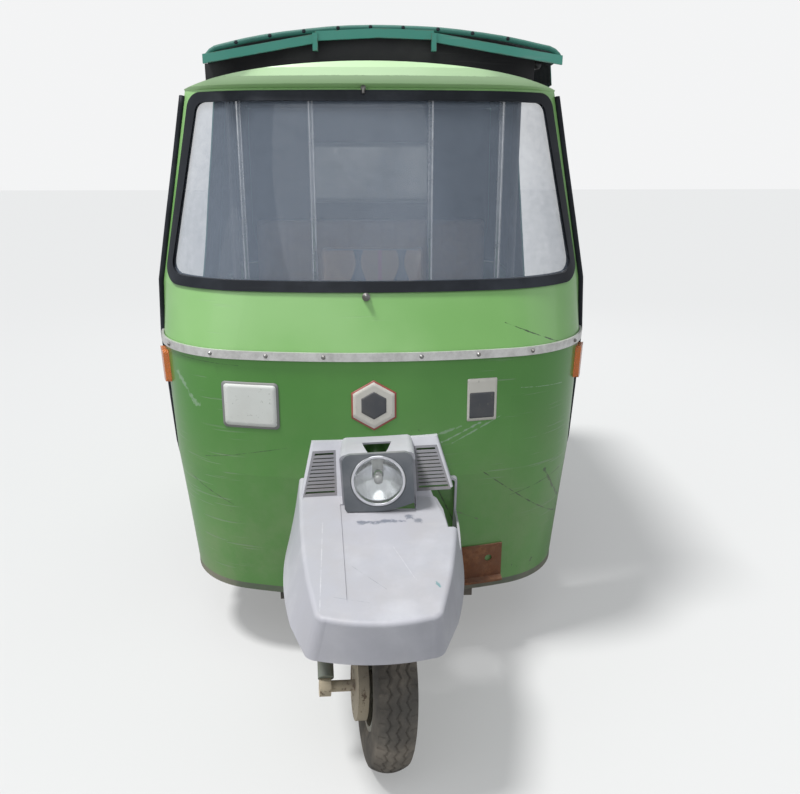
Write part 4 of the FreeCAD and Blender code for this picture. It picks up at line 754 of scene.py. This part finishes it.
hoodSet = {
    "front": -0.4035, "bend": 1.02, "hem": 1.6905, "browHem": 1.7445, "browEnd": -0.24, "low": 0.9585,
    "hoops": (-0.268, 0.200, 0.560, 0.985), "sag": 0.008, "thick": 0.002,
    "rows": 60, "columns": 84, "fan": 14,
    "eye": 1.40, "far": 1.5,                  # rays meet at the eye's height, and start this far out
    "skin": 0.0006, "wrinkle": 0.0022, "bendWrinkle": 0.0018,
    "flutter": 0.0022, "flutterEdge": 0.34,   # the valance's waves, and how far up they reach
}
skirtSet = {
    "sideStart": 0.561, "wallTop": 1.705, "wallY": 1.180, "lean": 0.1738,   # the back wall leans out
    "window": (0.280, 1.270, 1.520),          # half width, sill and head
    "sideSteps": 25, "cornerSteps": 10, "paneSteps": 16, "rowsAbove": 8, "rowsPane": 11, "rowsBelow": 13,
    "fold": 0.0065, "wave": 0.002, "backWave": 0.004, "drop": 0.73,
}


def sagAt(y, want):
    hoops = want["hoops"]
    for first, last in zip(hoops, hoops[1:]):
        if first < y < last:
            return want["sag"] * math.sin(math.pi * (y - first) / (last - first))
    return 0.0


def ripple(point, size, amount):
    return amount * noise.noise(Vector(point) * size)


def wallAt(z, want, inward):
    return want["wallY"] + (want["wallTop"] - z) * want["lean"] - inward


def roofRow(tree, y, want):
    eye, far, last = want["eye"], want["far"], want["columns"] - 1
    hem = want["browHem"] if y < want["browEnd"] else want["hem"]
    centre = Vector((0, y, eye))
    ends = [hitFrom(tree, (side * far, y, hem), (0, y, hem)) for side in (1, -1)]
    start = math.atan2(hem - eye, ends[0].x)
    end = math.pi - math.atan2(hem - eye, -ends[1].x)
    row = []
    for column in range(last + 1):
        angle = start + (end - start) * column / last
        away = Vector((math.cos(angle), 0, math.sin(angle)))
        hit = hitFrom(tree, centre + away * far, centre)
        crown = math.sin(math.pi * column / last)
        drop = sagAt(y, want) * crown + want["skin"] + ripple(hit, 7.0, want["wrinkle"]) * crown
        if crown < want["flutterEdge"]:
            wave = 1 + math.sin(y * 62 + ripple(hit, 3.0, 5.0))
            drop += want["flutter"] * wave * (want["flutterEdge"] - crown) / want["flutterEdge"]
        row.append(hit - away * max(0.0, drop))
    return row


def bendRow(tree, turn, want):
    far, last = want["far"], want["columns"] - 1
    centre = Vector((0, want["bend"], want["hem"]))
    up = Vector((0, math.sin(turn), math.cos(turn)))
    row = [hitFrom(tree, (far, want["bend"], want["hem"]), centre)]
    for column in range(1, last):
        angle = math.pi * column / last
        away = Vector((math.cos(angle), 0, 0)) + up * math.sin(angle)
        hit = hitFrom(tree, centre + away * far, centre)
        row.append(hit - away * max(0.0, want["skin"] + ripple(hit, 7.0, want["bendWrinkle"])))
    return row + [hitFrom(tree, (-far, want["bend"], want["hem"]), centre)]


def makeRoof(want):
    tree = solidTree("canopy")
    last = want["rows"] - 1
    rows = [roofRow(tree, want["front"] + (want["bend"] - want["front"]) * row / last, want)
            for row in range(want["rows"])]
    bends = [bendRow(tree, math.pi / 2 * row / want["fan"], want) for row in range(1, want["fan"] + 1)]
    points = [point for row in rows + bends for point in row]
    faces = gridFaces(want["rows"] + want["fan"], want["columns"])
    roof = newPiece("hood_roof", points, faces, "body", "hood_cloth")
    thicken(roof, want["thick"], (0, 0.4, 1.2), "hoodLining")
    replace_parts(roof, "canopy")
    return rows


def sidePart(tree, z, way, wall, want):
    part = []
    for step in range(want["sideSteps"] + 1):
        y = want["sideStart"] + (wall - want["sideStart"]) * step / want["sideSteps"]
        within = min(y, wall - 0.002)         # a ray at the corner itself would miss
        hit = hitFrom(tree, (way * hoodSet["far"], within, z), (0, within, z))
        fold = (1 + math.sin(y * 41 + 3.2 * math.sin(z * 4.1) + way)) * 0.5
        deep = math.sin(math.pi * step / want["sideSteps"]) * (hoodSet["hem"] - z) / want["drop"]
        inward = hoodSet["skin"] + want["fold"] * fold * deep + abs(ripple(hit, 6.0, want["wave"]))
        part.append(Vector((hit.x - way * inward, y, z)))
    return part


def makeSkirt(want):
    tree = solidTree("canopy")
    half, low, high = want["window"]
    hem, foot = hoodSet["hem"], hoodSet["low"]
    above, pane, below = want["rowsAbove"], want["rowsPane"], want["rowsBelow"]
    heights = [hem + (high - hem) * step / above for step in range(above)]
    heights += [high + (low - high) * step / pane for step in range(pane)]
    heights += [low + (foot - low) * step / below for step in range(below + 1)]
    corner, across = want["cornerSteps"], want["paneSteps"]
    rows, corners = [], []
    for z in heights:
        wall = wallAt(z, want, 0.0012)
        left, right = [sidePart(tree, z, way, wall, want) for way in (1, -1)]
        edge, other = left[-1].x, right[-1].x
        steps = [edge + (half - edge) * step / corner for step in range(1, corner)]
        steps += [half - 2 * half * step / across for step in range(across + 1)]
        steps += [-half + (other + half) * step / corner for step in range(1, corner)]
        back = [Vector((x, wall - abs(ripple((x, wall, z), 6.0, want["backWave"])), z)) for x in steps]
        rows.append(left + back + right[::-1])
        corners.append((left[-1], right[-1]))
    columns = len(rows[0])
    firstPane = want["sideSteps"] + corner
    faces = []
    for index, face in enumerate(gridFaces(len(rows), columns)):
        row, column = divmod(index, columns - 1)
        if not (above <= row < above + pane and firstPane <= column < firstPane + across):
            faces.append(face)
    skirt = newPiece("hood_skirt", [point for row in rows for point in row], faces, "body", "hood_cloth")
    thicken(skirt, hoodSet["thick"], (0, 0.7, 1.3), "hoodLining")
    return rows, corners


seamSet = {
    "valance": 0.0035, "corner": 0.0042, "foot": 0.0045, "side": 0.004, "top": 0.0030, "bead": 0.0075,
    "studGap": 0.088, "studOut": 0.0066,
}


def makeSeams(want, roofRows, skirtRows, corners):
    shapes = []
    for column, out in ((0, 0.0005), (-1, -0.0005)):
        hem = [row[column] + Vector((out, 0, 0.003)) for row in roofRows
               if row[0].y > hoodSet["browEnd"] + 0.03]
        shapes.append(tubeShape(hem, want["valance"]))
    shapes += [tubeShape([pair[side] for pair in corners], want["corner"]) for side in (0, 1)]
    shapes.append(tubeShape([point + Vector((0, 0, 0.004)) for point in skirtRows[-1]], want["foot"]))
    shapes += [tubeShape([row[column] for row in skirtRows], want["side"]) for column in (0, -1)]
    top = [point + Vector((0, 0, 0.0008)) for point in roofRows[-1][2:-2]]
    shapes.append(tubeShape(top, want["top"]))
    newPiece("hood_seams", *joined(shapes), "body", "hood_cloth", "seamCloth")
    front = [point + Vector((0, -0.003, -0.001)) for point in roofRows[0]]
    newPiece("hood_bead", *tubeShape(front, want["bead"], 12), "body", "hood_cloth", "seamCloth")
    studs, travelled = [], 0.0
    for first, second in zip(front[4:-4], front[5:-3]):
        travelled += (second - first).length
        if travelled > want["studGap"]:
            travelled = 0.0
            studs.append((second + Vector((0, -want["studOut"], 0.001)), Vector((0, -1, 0.15))))
    return studs


curtainSet = {
    "low": 0.2615, "high": 1.6885, "front": 0.2205, "back": 0.5585, "rows": 60, "columns": 44,
    "fold": 0.0085, "inset": 0.0008, "thick": 0.0018, "hem": 0.0034, "foot": 0.0038,
}


def makeCurtain(want):
    tree = solidTree("side_curtain")
    tall, rows = want["high"] - want["low"], []
    for index in range(want["rows"]):
        z = want["low"] + tall * index / (want["rows"] - 1)
        loose = 0.35 + 0.65 * (1.69 - z) / 1.43   # the folds grow towards the foot
        row = []
        for column in range(want["columns"]):
            y = want["front"] + (want["back"] - want["front"]) * column / (want["columns"] - 1)
            hit = hitFrom(tree, (-hoodSet["far"], y, z), (0, y, z))
            wave = y * 76 + 1.4 * math.sin(z * 3.7) + ripple((0, y, z), 4.0, 1.6)
            fold = 0.5 + 0.5 * math.sin(wave)
            row.append(Vector((hit.x + want["inset"] + want["fold"] * fold * loose, y, z)))
        rows.append(row)
    points = [point for row in rows for point in row]
    faces = gridFaces(want["rows"], want["columns"])
    curtain = newPiece("curtain_cloth", points, faces, "body", "hood_cloth", "curtainCloth")
    thicken(curtain, want["thick"], (0, 0.4, 1.0), "hoodLining")
    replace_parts(curtain, "side_curtain")
    shapes = [tubeShape([row[column] for row in rows], want["hem"]) for column in (0, -1)]
    shapes.append(tubeShape(rows[0], want["foot"]))
    newPiece("curtain_hems", *joined(shapes), "body", "hood_cloth", "seamCloth")


paneSet = {
    "rows": 20, "columns": 34, "lap": 0.016, "sideLap": 0.018, "inward": 0.0062, "wave": 0.0022,
    "thick": 0.0012, "corner": 0.03, "binding": 0.0055,
}


def makeRearWindow(want):
    half, low, high = skirtSet["window"]
    rows, columns, corner = want["rows"], want["columns"], want["corner"]
    points = []
    for row in range(rows):
        z = low - want["lap"] + (high - low + 2 * want["lap"]) * row / (rows - 1)
        wall = wallAt(z, skirtSet, want["inward"])
        for column in range(columns):
            x = (half + want["sideLap"]) * (2 * column / (columns - 1) - 1)
            points.append(Vector((x, wall - 0.0015 - ripple((x, wall, z), 9.0, want["wave"]), z)))
    pane = newPiece("rear_pane", points, gridFaces(rows, columns), "body", "clear_sheet")
    thicken(pane, want["thick"], (0, 0.4, 1.3))
    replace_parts(pane, "rear_window")
    path = []
    for start, cornerX, cornerZ in ((0, half, high), (90, -half, high), (180, -half, low), (270, half, low)):
        middleX = cornerX - math.copysign(corner, cornerX)
        middleZ = cornerZ - math.copysign(corner, cornerZ - (low + high) / 2)
        for step in range(7):
            angle = math.radians(start + 15 * step)
            x, z = middleX + corner * math.cos(angle), middleZ + corner * math.sin(angle)
            path.append(Vector((x, wallAt(z, skirtSet, 0.001), z)))
    binding = tubeShape(path + path[:2], want["binding"])
    newPiece("window_binding", *binding, "body", "hood_cloth", "seamCloth")


roofRows = makeRoof(hoodSet)
skirtRows, corners = makeSkirt(skirtSet)
hoodStuds = makeSeams(seamSet, roofRows, skirtRows, corners)
makeCurtain(curtainSet)
makeRearWindow(paneSet)
print("stage: hood and curtain")


# Cushions: flat is the axis that the seat's face looks along, 2 for up and 1 for forward

cushionSet = {
    "driver_cushion": {"low": (-0.215, -0.145, 0.5853), "high": (0.215, 0.155, 0.690), "voxel": 0.008,
                       "flat": 2, "fill": 0.7, "finish": "seatCover", "edge": 0.020, "lean": 0.0},
    "driver_backrest": {"low": (-0.198, 0.141, 0.745), "high": (0.198, 0.189, 1.170), "voxel": 0.007,
                        "flat": 1, "fill": 0.7, "finish": "backrestCover", "edge": 0.014, "lean": 0.0},
    "passenger_cushion": {"low": (-0.565, 0.612, 0.5753), "high": (0.565, 1.060, 0.705), "voxel": 0.012,
                          "flat": 2, "fill": 0.65, "finish": "seatCover", "edge": 0.024, "lean": 0.0},
    "passenger_backrest": {"low": (-0.565, 1.064, 0.575), "high": (0.565, 1.150, 1.190), "voxel": 0.012,
                           "flat": 1, "fill": 0.65, "finish": "seatCover", "edge": 0.020, "lean": 0.053},
}
puffSet = {
    "inset": 0.007, "pressure": 4.0, "quality": 5, "frames": 20, "most": 0.0065,
    "flute": 0.075, "fluteDeep": 0.005, "fluteEdge": 0.03, "faceDeep": 0.02, "piping": 0.0035,
}


def startBlock(name, want):
    low, high = Vector(want["low"]), Vector(want["high"])
    inset = puffSet["inset"]
    middle, size = (low + high) / 2, high - low - Vector((inset, inset, inset)) * 2
    if want["flat"] == 2:                     # a seat's underside stays where it is
        middle.z -= inset / 2
        size.z += inset
    shape = bmesh.new()
    bmesh.ops.create_cube(shape, size=1.0)
    for vertex in shape.verts:
        vertex.co = Vector(vertex.co[axis] * size[axis] + middle[axis] for axis in range(3))
    bmesh.ops.bevel(shape, geom=shape.edges[:], offset=want["edge"], segments=4, profile=0.5, affect="EDGES")
    mesh = bpy.data.meshes.new(name)
    shape.to_mesh(mesh)
    shape.free()
    item = bpy.data.objects.new(name, mesh)
    scene.collection.objects.link(item)
    remesh = item.modifiers.new("even", "REMESH")
    remesh.mode = "VOXEL"
    remesh.voxel_size = want["voxel"]
    bake(item)
    return item


def puffUp(item, want):
    puff = item.modifiers.new("puff", "CLOTH")
    puff.settings.quality = want["quality"]
    puff.settings.use_pressure = True
    puff.settings.uniform_pressure_force = want["pressure"]
    puff.settings.effector_weights.gravity = 0.0
    puff.point_cache.frame_start = 1
    puff.point_cache.frame_end = want["frames"]
    for number in range(1, want["frames"] + 1):
        scene.frame_set(number)
    bake(item)
    scene.frame_set(1)


def sewnSpot(spot, want, sewn):
    low, high = want["low"], want["high"]
    seat = want["flat"] == 2
    if seat:
        spot.z = max(spot.z, low[2] + 0.0004)
    flutes = round((high[0] - low[0]) / sewn["flute"])
    seam = math.sin(math.pi * (spot.x - low[0]) / (high[0] - low[0]) * flutes)
    inner = min(spot.x - low[0], high[0] - spot.x) > sewn["fluteEdge"]
    face = spot.z > high[2] - sewn["faceDeep"] if seat else spot.y < low[1] + sewn["faceDeep"]
    if inner and face and want["finish"] == "seatCover":
        drop = sewn["fluteDeep"] * (1 - abs(seam)) ** 4
        spot -= Vector((0, 0, drop)) if seat else Vector((0, -drop, 0))
    if seat:
        spot.z += ripple(spot, 14.0, 0.0012)
    spot.y += (spot.z - low[2]) / (high[2] - low[2]) * want["lean"]
    return spot


def pipingPath(item, want):
    low, high = want["low"], want["high"]
    mesh = item.data
    tree = BVHTree.FromPolygons([vertex.co for vertex in mesh.vertices],
                                [tuple(face.vertices) for face in mesh.polygons])
    path = []
    for turn in range(121):
        angle = math.tau * turn / 120
        across, along = [math.copysign(abs(value) ** 0.25, value)
                         for value in (math.cos(angle), math.sin(angle))]
        x = (low[0] + high[0]) / 2 + across * (high[0] - low[0]) / 2
        if want["flat"] == 2:
            spot = Vector((x, (low[1] + high[1]) / 2 + along * (high[1] - low[1]) / 2, high[2] - 0.006))
        else:
            z = (low[2] + high[2]) / 2 + along * (high[2] - low[2]) / 2
            spot = Vector((x, low[1] + 0.006 + want["lean"] * (z - low[2]) / (high[2] - low[2]), z))
        path.append(tree.find_nearest(spot)[0])
    return path


def makeCushion(name, want, sewn):
    item = startBlock(name + "_cover", want)
    before = [vertex.co.copy() for vertex in item.data.vertices]
    puffUp(item, sewn)
    for vertex, start in zip(item.data.vertices, before):
        move = vertex.co - start
        if move.length > sewn["most"]:
            move *= sewn["most"] / move.length
        vertex.co = sewnSpot(start + move, want, sewn)
    item.data.materials.append(finishes[want["finish"]])
    smooth = item.modifiers.new("smooth", "SUBSURF")
    smooth.levels = smooth.render_levels = 1
    bake(item)
    smoothFaces(item.data)
    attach(item, "body")
    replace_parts(item, name)
    piping = tubeShape(pipingPath(item, want), sewn["piping"])
    newPiece(name + "_piping", *piping, "body", "seat_cover", "pipingCloth")


for label, want in cushionSet.items():
    makeCushion(label, want, puffSet)
print("stage: cushions")


# Headlamp: profiles are (y, radius), measured from the back of the bowl or from the rim

lampSet = {"x": 0.006, "z": 0.668, "rim": -0.877, "radius": 0.071, "back": -0.834, "bulge": 0.0135}


def turned(profile, want, steps=96):
    points = [Vector((want["x"] + radius * math.cos(math.tau * step / steps), y,
                      want["z"] + radius * math.sin(math.tau * step / steps)))
              for y, radius in profile for step in range(steps)]
    return points, gridFaces(len(profile), steps, True)


def makeReflector(want):
    bowl = []
    for step in range(15):
        radius = 0.012 + (want["radius"] - 0.017) * step / 14
        bowl.append((want["back"] + 0.004 - 0.034 * (radius / want["radius"]) ** 2, radius))
    outer = [(y + 0.0015, radius + 0.0012) for y, radius in reversed(bowl)]
    made = newPiece("lamp_reflector", *turned(bowl + outer + bowl[:1], want), "body", "trim", "reflector")
    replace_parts(made, "headlamp")


def makeRing(want, thick=0.005):
    ring = []
    for step in range(13):
        angle = math.tau * (step % 12) / 12
        ring.append((want["rim"] + 0.004 * math.sin(angle), want["radius"] - 0.003 + thick * math.cos(angle)))
    newPiece("lamp_ring", *turned(ring, want), "body", "trim", "reflector")


def makeBulb(want):
    back = want["back"]
    bulb = [(0.002, 0.0), (0.001, 0.009), (-0.014, 0.009), (-0.0145, 0.006), (-0.030, 0.006), (-0.034, 0.0)]
    shield = [(-0.036, 0.0), (-0.036, 0.012), (-0.028, 0.0125),
              (-0.028, 0.0115), (-0.035, 0.0105), (-0.035, 0.0)]
    for name, profile, steps, slot, finish in (("lamp_bulb", bulb, 24, "lamp_glass", "bulbGlass"),
                                               ("lamp_shield", shield, 32, "trim", "trimMetal")):
        placed = [(back + y, radius) for y, radius in profile]
        newPiece(name, *turned(placed, want, steps), "body", slot, finish)


def makeLampLens(want, thick=0.003):
    lens = []
    for step in range(19):
        radius = (want["radius"] - 0.005) * step / 18
        lens.append((want["rim"] - want["bulge"] * (1 - (radius / want["radius"]) ** 2), radius))
    inner = [(y + thick, radius) for y, radius in reversed(lens)]
    newPiece("lamp_lens", *turned(lens + inner, want), "body", "lamp_glass", "lampGlass")


makeReflector(lampSet)
makeRing(lampSet)
makeBulb(lampSet)
makeLampLens(lampSet)
print("stage: headlamp")


# Tyres

tyreSet = {
    "tyre_front": {"centre": (0.0166626, -1.0989277, 0.2056749), "axis": (0.9890159, 0.1280063, -0.0739047),
                   "body": "wheel_front"},
    "tyre_left": {"centre": (0.575, 0.83, 0.206), "axis": (1, 0, 0), "body": "wheel_left"},
    "tyre_right": {"centre": (-0.575, 0.83, 0.206), "axis": (-1, 0, 0), "body": "wheel_right"},
}
tyreShape = {
    "crown": 0.206, "shoulder": 0.192, "half": 0.0525, "bead": 0.103, "around": 432, "treadSteps": 44,
    "groove": 0.0034, "grooves": (-0.0215, 0.0, 0.0215), "grooveHalf": 0.0021, "zigzag": 0.0042,
    "pitches": 36, "sipe": 0.13, "sipeFrom": 0.0285, "sipeTo": 0.0445, "treadHalf": 0.0434, "rib": 0.0007,
}


def wheelFrame(place):
    axis = Vector(place["axis"]).normalized()
    up = axis.cross(Vector((0, 1, 0))).normalized()
    return Vector(place["centre"]), axis, up, up.cross(axis)


def tyreProfile(want):
    bead, shoulder, rise = want["bead"], want["shoulder"], want["crown"] - want["shoulder"]
    side = [(0.036, bead), (0.040, 0.106), (0.0455, 0.114), (0.0500, 0.128), (0.0522, 0.142),
            (want["half"], 0.152), (0.0522, 0.162), (0.0510, 0.172), (0.0490, 0.181), (0.0472, 0.187),
            (0.0452, shoulder - 0.0005)]
    tread = []
    for step in range(want["treadSteps"] + 1):
        w = want["treadHalf"] - 2 * want["treadHalf"] * step / want["treadSteps"]
        tread.append((w, shoulder + rise * (1 - (w / 0.0452) ** 2)))
    return side + tread + [(-w, r) for w, r in reversed(side)] + [(-0.018, bead), (0.018, bead)]


def treadDepth(w, turn, want):
    pitch = turn * want["pitches"] / math.tau
    zigzag = want["zigzag"] * (abs((pitch % 1.0) * 2 - 1) * 2 - 1)
    if any(abs(w - centre - zigzag) < want["grooveHalf"] for centre in want["grooves"]):
        return want["groove"]
    block = (pitch + (0.5 if w > 0 else 0.0)) % 1.0
    if want["sipeFrom"] < abs(w) < want["sipeTo"] and block < want["sipe"]:
        return want["groove"] * 0.8
    return 0.0


def makeTyre(name, place, want):
    centre, axis, up, ahead = wheelFrame(place)
    profile = tyreProfile(want)
    points = []
    for step in range(want["around"]):
        turn = math.tau * step / want["around"]
        away = math.cos(turn) * up + math.sin(turn) * ahead
        for w, r in profile:
            depth = treadDepth(w, turn, want) if r > want["shoulder"] - 0.002 else 0.0
            rib = want["rib"] if 0.160 < r < 0.164 or 0.120 < r < 0.123 else 0.0
            points.append(centre + axis * (w + math.copysign(rib, w)) + away * (r - depth))
    columns, faces = len(profile), []
    for row in range(want["around"]):
        after = ((row + 1) % want["around"]) * columns
        for column in range(columns):
            side = (column + 1) % columns
            faces.append((row * columns + column, row * columns + side, after + side, after + column))
    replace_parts(newPiece(name + "_tread", points, faces, place["body"], "tyre"), name)


for label, place in tyreSet.items():
    makeTyre(label, place, tyreShape)
print("stage: tyres")


# Bolts and studs by Geometry Nodes

def makeBoltGroup():
    group = bpy.data.node_groups.new("boltField", "GeometryNodeTree")
    group.interface.new_socket("Geometry", in_out="INPUT", socket_type="NodeSocketGeometry")
    for label, kind, value in (("Sides", "NodeSocketInt", 6), ("Radius", "NodeSocketFloat", 0.006),
                               ("Top", "NodeSocketFloat", 0.006), ("Height", "NodeSocketFloat", 0.004)):
        group.interface.new_socket(label, in_out="INPUT", socket_type=kind).default_value = value
    group.interface.new_socket("Finish", in_out="INPUT", socket_type="NodeSocketMaterial")
    group.interface.new_socket("Geometry", in_out="OUTPUT", socket_type="NodeSocketGeometry")
    given = group.nodes.new("NodeGroupInput").outputs
    end = group.nodes.new("NodeGroupOutput").inputs
    sizes = {"Vertices": given["Sides"], "Radius Bottom": given["Radius"], "Radius Top": given["Top"],
             "Depth": given["Height"]}
    head = addNode(group, "GeometryNodeMeshCone", sizes).outputs["Mesh"]
    facing = addNode(group, "GeometryNodeInputNamedAttribute", data_type="FLOAT_VECTOR")
    facing.inputs["Name"].default_value = "facing"
    turn = addNode(group, "FunctionNodeAlignRotationToVector", {"Vector": facing.outputs[0]}, axis="Z")
    spots = addNode(group, "GeometryNodeMeshToPoints", {"Mesh": given["Geometry"]})
    placed = {"Points": spots.outputs[0], "Instance": head, "Rotation": turn.outputs[0]}
    heads = addNode(group, "GeometryNodeInstanceOnPoints", placed)
    real = addNode(group, "GeometryNodeRealizeInstances", {0: heads.outputs[0]}).outputs[0]
    done = addNode(group, "GeometryNodeSetMaterial", {"Geometry": real, "Material": given["Finish"]})
    group.links.new(done.outputs[0], end[0])
    return group


boltGroup = makeBoltGroup()
boltSet = {
    "hood_studs": {"slot": "hood_cloth", "finish": "gasketRubber",
                   "sizes": {"Sides": 12, "Radius": 0.0055, "Top": 0.003, "Height": 0.004}},
    "strip_bolts": {"slot": "trim", "finish": "boltSteel",
                    "sizes": {"Sides": 10, "Radius": 0.0062, "Top": 0.0030, "Height": 0.0044}},
    "nuts": {"slot": "rim_paint", "finish": "boltSteel",
             "sizes": {"Sides": 6, "Radius": 0.0075, "Top": 0.0070, "Height": 0.008}},
}


def makeBolts(name, spots, body, want):
    mesh = bpy.data.meshes.new(name)
    mesh.from_pydata([tuple(spot) for spot, facing in spots], [], [])
    facing = mesh.attributes.new("facing", "FLOAT_VECTOR", "POINT")
    facing.data.foreach_set("vector", [value for spot, aim in spots for value in Vector(aim).normalized()])
    item = bpy.data.objects.new(name, mesh)
    scene.collection.objects.link(item)
    field = item.modifiers.new("field", "NODES")
    field.node_group = boltGroup
    values = {**want["sizes"], "Finish": finishes[want["finish"]]}
    for socket in boltGroup.interface.items_tree:
        if socket.in_out == "INPUT" and socket.name in values:
            field[socket.identifier] = values[socket.name]
    bake(item)
    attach(item, body)


# Trim on the front: outlines are lists of (x, z) laid on the front wall by rays

frontTree = solidTree("front_cowl", "waist_strip", "windscreen_surround", "side_indicators")


def onFront(x, z, lift=0.0):
    hit, normal = hitAndNormal(frontTree, (x, -2.0, z), (x, 0, z))
    outward = normal if normal.y < 0 else -normal
    return hit + outward * lift, outward


def frontPatch(name, outline, lift, thick, finish, rings=6):
    count = len(outline)
    middle = Vector((sum(x for x, z in outline) / count, sum(z for x, z in outline) / count))
    points = []
    for ring in range(rings + 1):
        share = ring / rings
        points += [onFront(middle.x + (x - middle.x) * share, middle.y + (z - middle.y) * share, lift)[0]
                   for x, z in outline]
    patch = newPiece(name, points, gridFaces(rings + 1, len(outline), True), "body", "trim", finish)
    thicken(patch, thick, (0, 0, 0.8))


def splitEdge(first, second, pieces):
    (x, z), (endX, endZ) = first, second
    return [(x + (endX - x) * step / pieces, z + (endZ - z) * step / pieces) for step in range(pieces)]


def corneredBox(low, high, radius, steps=6, gap=0.012):
    middleX, middleZ = (low[0] + high[0]) / 2, (low[1] + high[1]) / 2
    outline = []
    (left, foot), (right, top) = low, high
    for quarter, x, z in ((0, right, top), (1, left, top), (2, left, foot), (3, right, foot)):
        centreX, centreZ = x - math.copysign(radius, x - middleX), z - math.copysign(radius, z - middleZ)
        for step in range(steps + 1):
            angle = math.radians(90 * quarter + 90 * step / steps)
            outline.append((centreX + radius * math.cos(angle), centreZ + radius * math.sin(angle)))
    full = []
    for first, second in zip(outline, outline[1:] + outline[:1]):
        full += splitEdge(first, second, max(1, round(math.dist(first, second) / gap)))
    return full


def hexagon(centre, radius, pieces=8):
    corners = [(centre[0] + radius * math.cos(math.radians(60 * step + 30)),
                centre[1] + radius * math.sin(math.radians(60 * step + 30))) for step in range(6)]
    return [spot for first, second in zip(corners, corners[1:] + corners[:1])
            for spot in splitEdge(first, second, pieces)]


badgeCentre = (-0.003, 0.819)
patchSet = {  # outline, lift off the wall, thickness and finish
    "plate_frame": (corneredBox((-0.433, 0.744), (-0.269, 0.879), 0.012), 0.0022, 0.0020, "signGrey"),
    "plate_blank": (corneredBox((-0.426, 0.751), (-0.276, 0.872), 0.009), 0.0032, 0.0010, "signWhite"),
    "badge_rim": (hexagon(badgeCentre, 0.0725), 0.0016, 0.0014, "signRed"),
    "badge_field": (hexagon(badgeCentre, 0.0670), 0.0024, 0.0008, "signPale"),
    "badge_core": (hexagon(badgeCentre, 0.0400), 0.0031, 0.0007, "signDark"),
    "sticker_paper": (corneredBox((0.261, 0.762), (0.347, 0.886), 0.004), 0.0009, 0.0007, "signPale"),
    "sticker_panel": (corneredBox((0.268, 0.770), (0.340, 0.845), 0.003), 0.0014, 0.0005, "signDark"),
}
for label, (outline, lift, thick, finish) in patchSet.items():
    frontPatch(label, outline, lift, thick, finish)


beadSet = {
    "radius": 0.0100, "out": 0.006, "back": 0.002,
    "path": [(0.577, -0.345, 0.246), (0.602, -0.345, 0.42), (0.6297, -0.345, 0.60), (0.6405, -0.345, 0.78),
             (0.6497, -0.345, 0.957), (0.6420, -0.345, 1.121), (0.614, -0.315, 1.30), (0.585, -0.282, 1.48),
             (0.558, -0.252, 1.655)],
}


def makeEdgeBeads(want):
    spots = [Vector(point) for point in want["path"]]
    smooth = [first.lerp(second, step / 6) for first, second in zip(spots, spots[1:]) for step in range(6)]
    shapes = []
    for side in (1, -1):
        line = [Vector(((point.x + want["out"]) * side, point.y + want["back"], point.z))
                for point in smooth + spots[-1:]]
        shapes.append(tubeShape(line, want["radius"], 10))
    newPiece("edge_beads", *joined(shapes), "body", "gasket_rubber", "gasketRubber")


def makeWiperSpindle(x=-0.021, z=1.113):
    away = Vector((0, -0.93, 0.36)).normalized()
    base = onFront(x, z)[0] - away * 0.004
    rods = ((0.0, 0.010, 0.011, 20), (0.0, 0.026, 0.0048, 14), (0.012, 0.019, 0.0085, 6))
    shapes = [tubeShape([base + away * start, base + away * end], radius, sides)
              for start, end, radius, sides in rods]
    newPiece("wiper_spindle", *joined(shapes), "body", "trim", "boltSteel")


def makeClip(x=-0.023):
    shapes = [tubeShape([(x, -0.418, 1.668), (x, -0.433, 1.667)], 0.0075),
              tubeShape([(x, -0.430, 1.672), (x, -0.434, 1.652)], 0.0045)]
    newPiece("gasket_clip", *joined(shapes), "body", "gasket_rubber", "boltSteel")


stripSet = {"z": 0.957, "x": (-0.60, -0.46, -0.30, -0.14, 0.13, 0.29, 0.45, 0.60), "lift": 0.001}
hubSet = {"nuts": 5, "circle": 0.036, "seat": 0.0025, "valveUp": 0.080, "valveOut": 0.010}


def makeWheelNuts(name, place, want):
    centre, axis, up, ahead = wheelFrame(place)
    tree = solidTree(name.replace("tyre", "rim"))
    spots = []
    for step in range(want["nuts"]):
        angle = math.tau * (step + 0.3) / want["nuts"]
        off = (math.cos(angle) * up + math.sin(angle) * ahead) * want["circle"]
        hit = tree.ray_cast(centre + off + axis * 0.3, -axis)[0]
        if hit:
            spots.append((hit + axis * want["seat"], axis))
    if spots:
        makeBolts(name.replace("tyre", "nuts"), spots, place["body"], boltSet["nuts"])
    valve = centre + up * want["valveUp"] + axis * want["valveOut"]
    stem = tubeShape([valve, valve + axis * 0.026 - up * 0.006], 0.0035, 10)
    newPiece(name.replace("tyre", "valve"), *stem, place["body"], "rim_paint", "gasketRubber")


makeEdgeBeads(beadSet)
makeWiperSpindle()
makeBolts("hood_studs", hoodStuds, "body", boltSet["hood_studs"])
stripSpots = [onFront(x, stripSet["z"], stripSet["lift"]) for x in stripSet["x"]]
makeBolts("strip_bolts", stripSpots, "body", boltSet["strip_bolts"])
makeClip()
for label, place in tyreSet.items():
    makeWheelNuts(label, place, hubSet)
print("stage: trim")
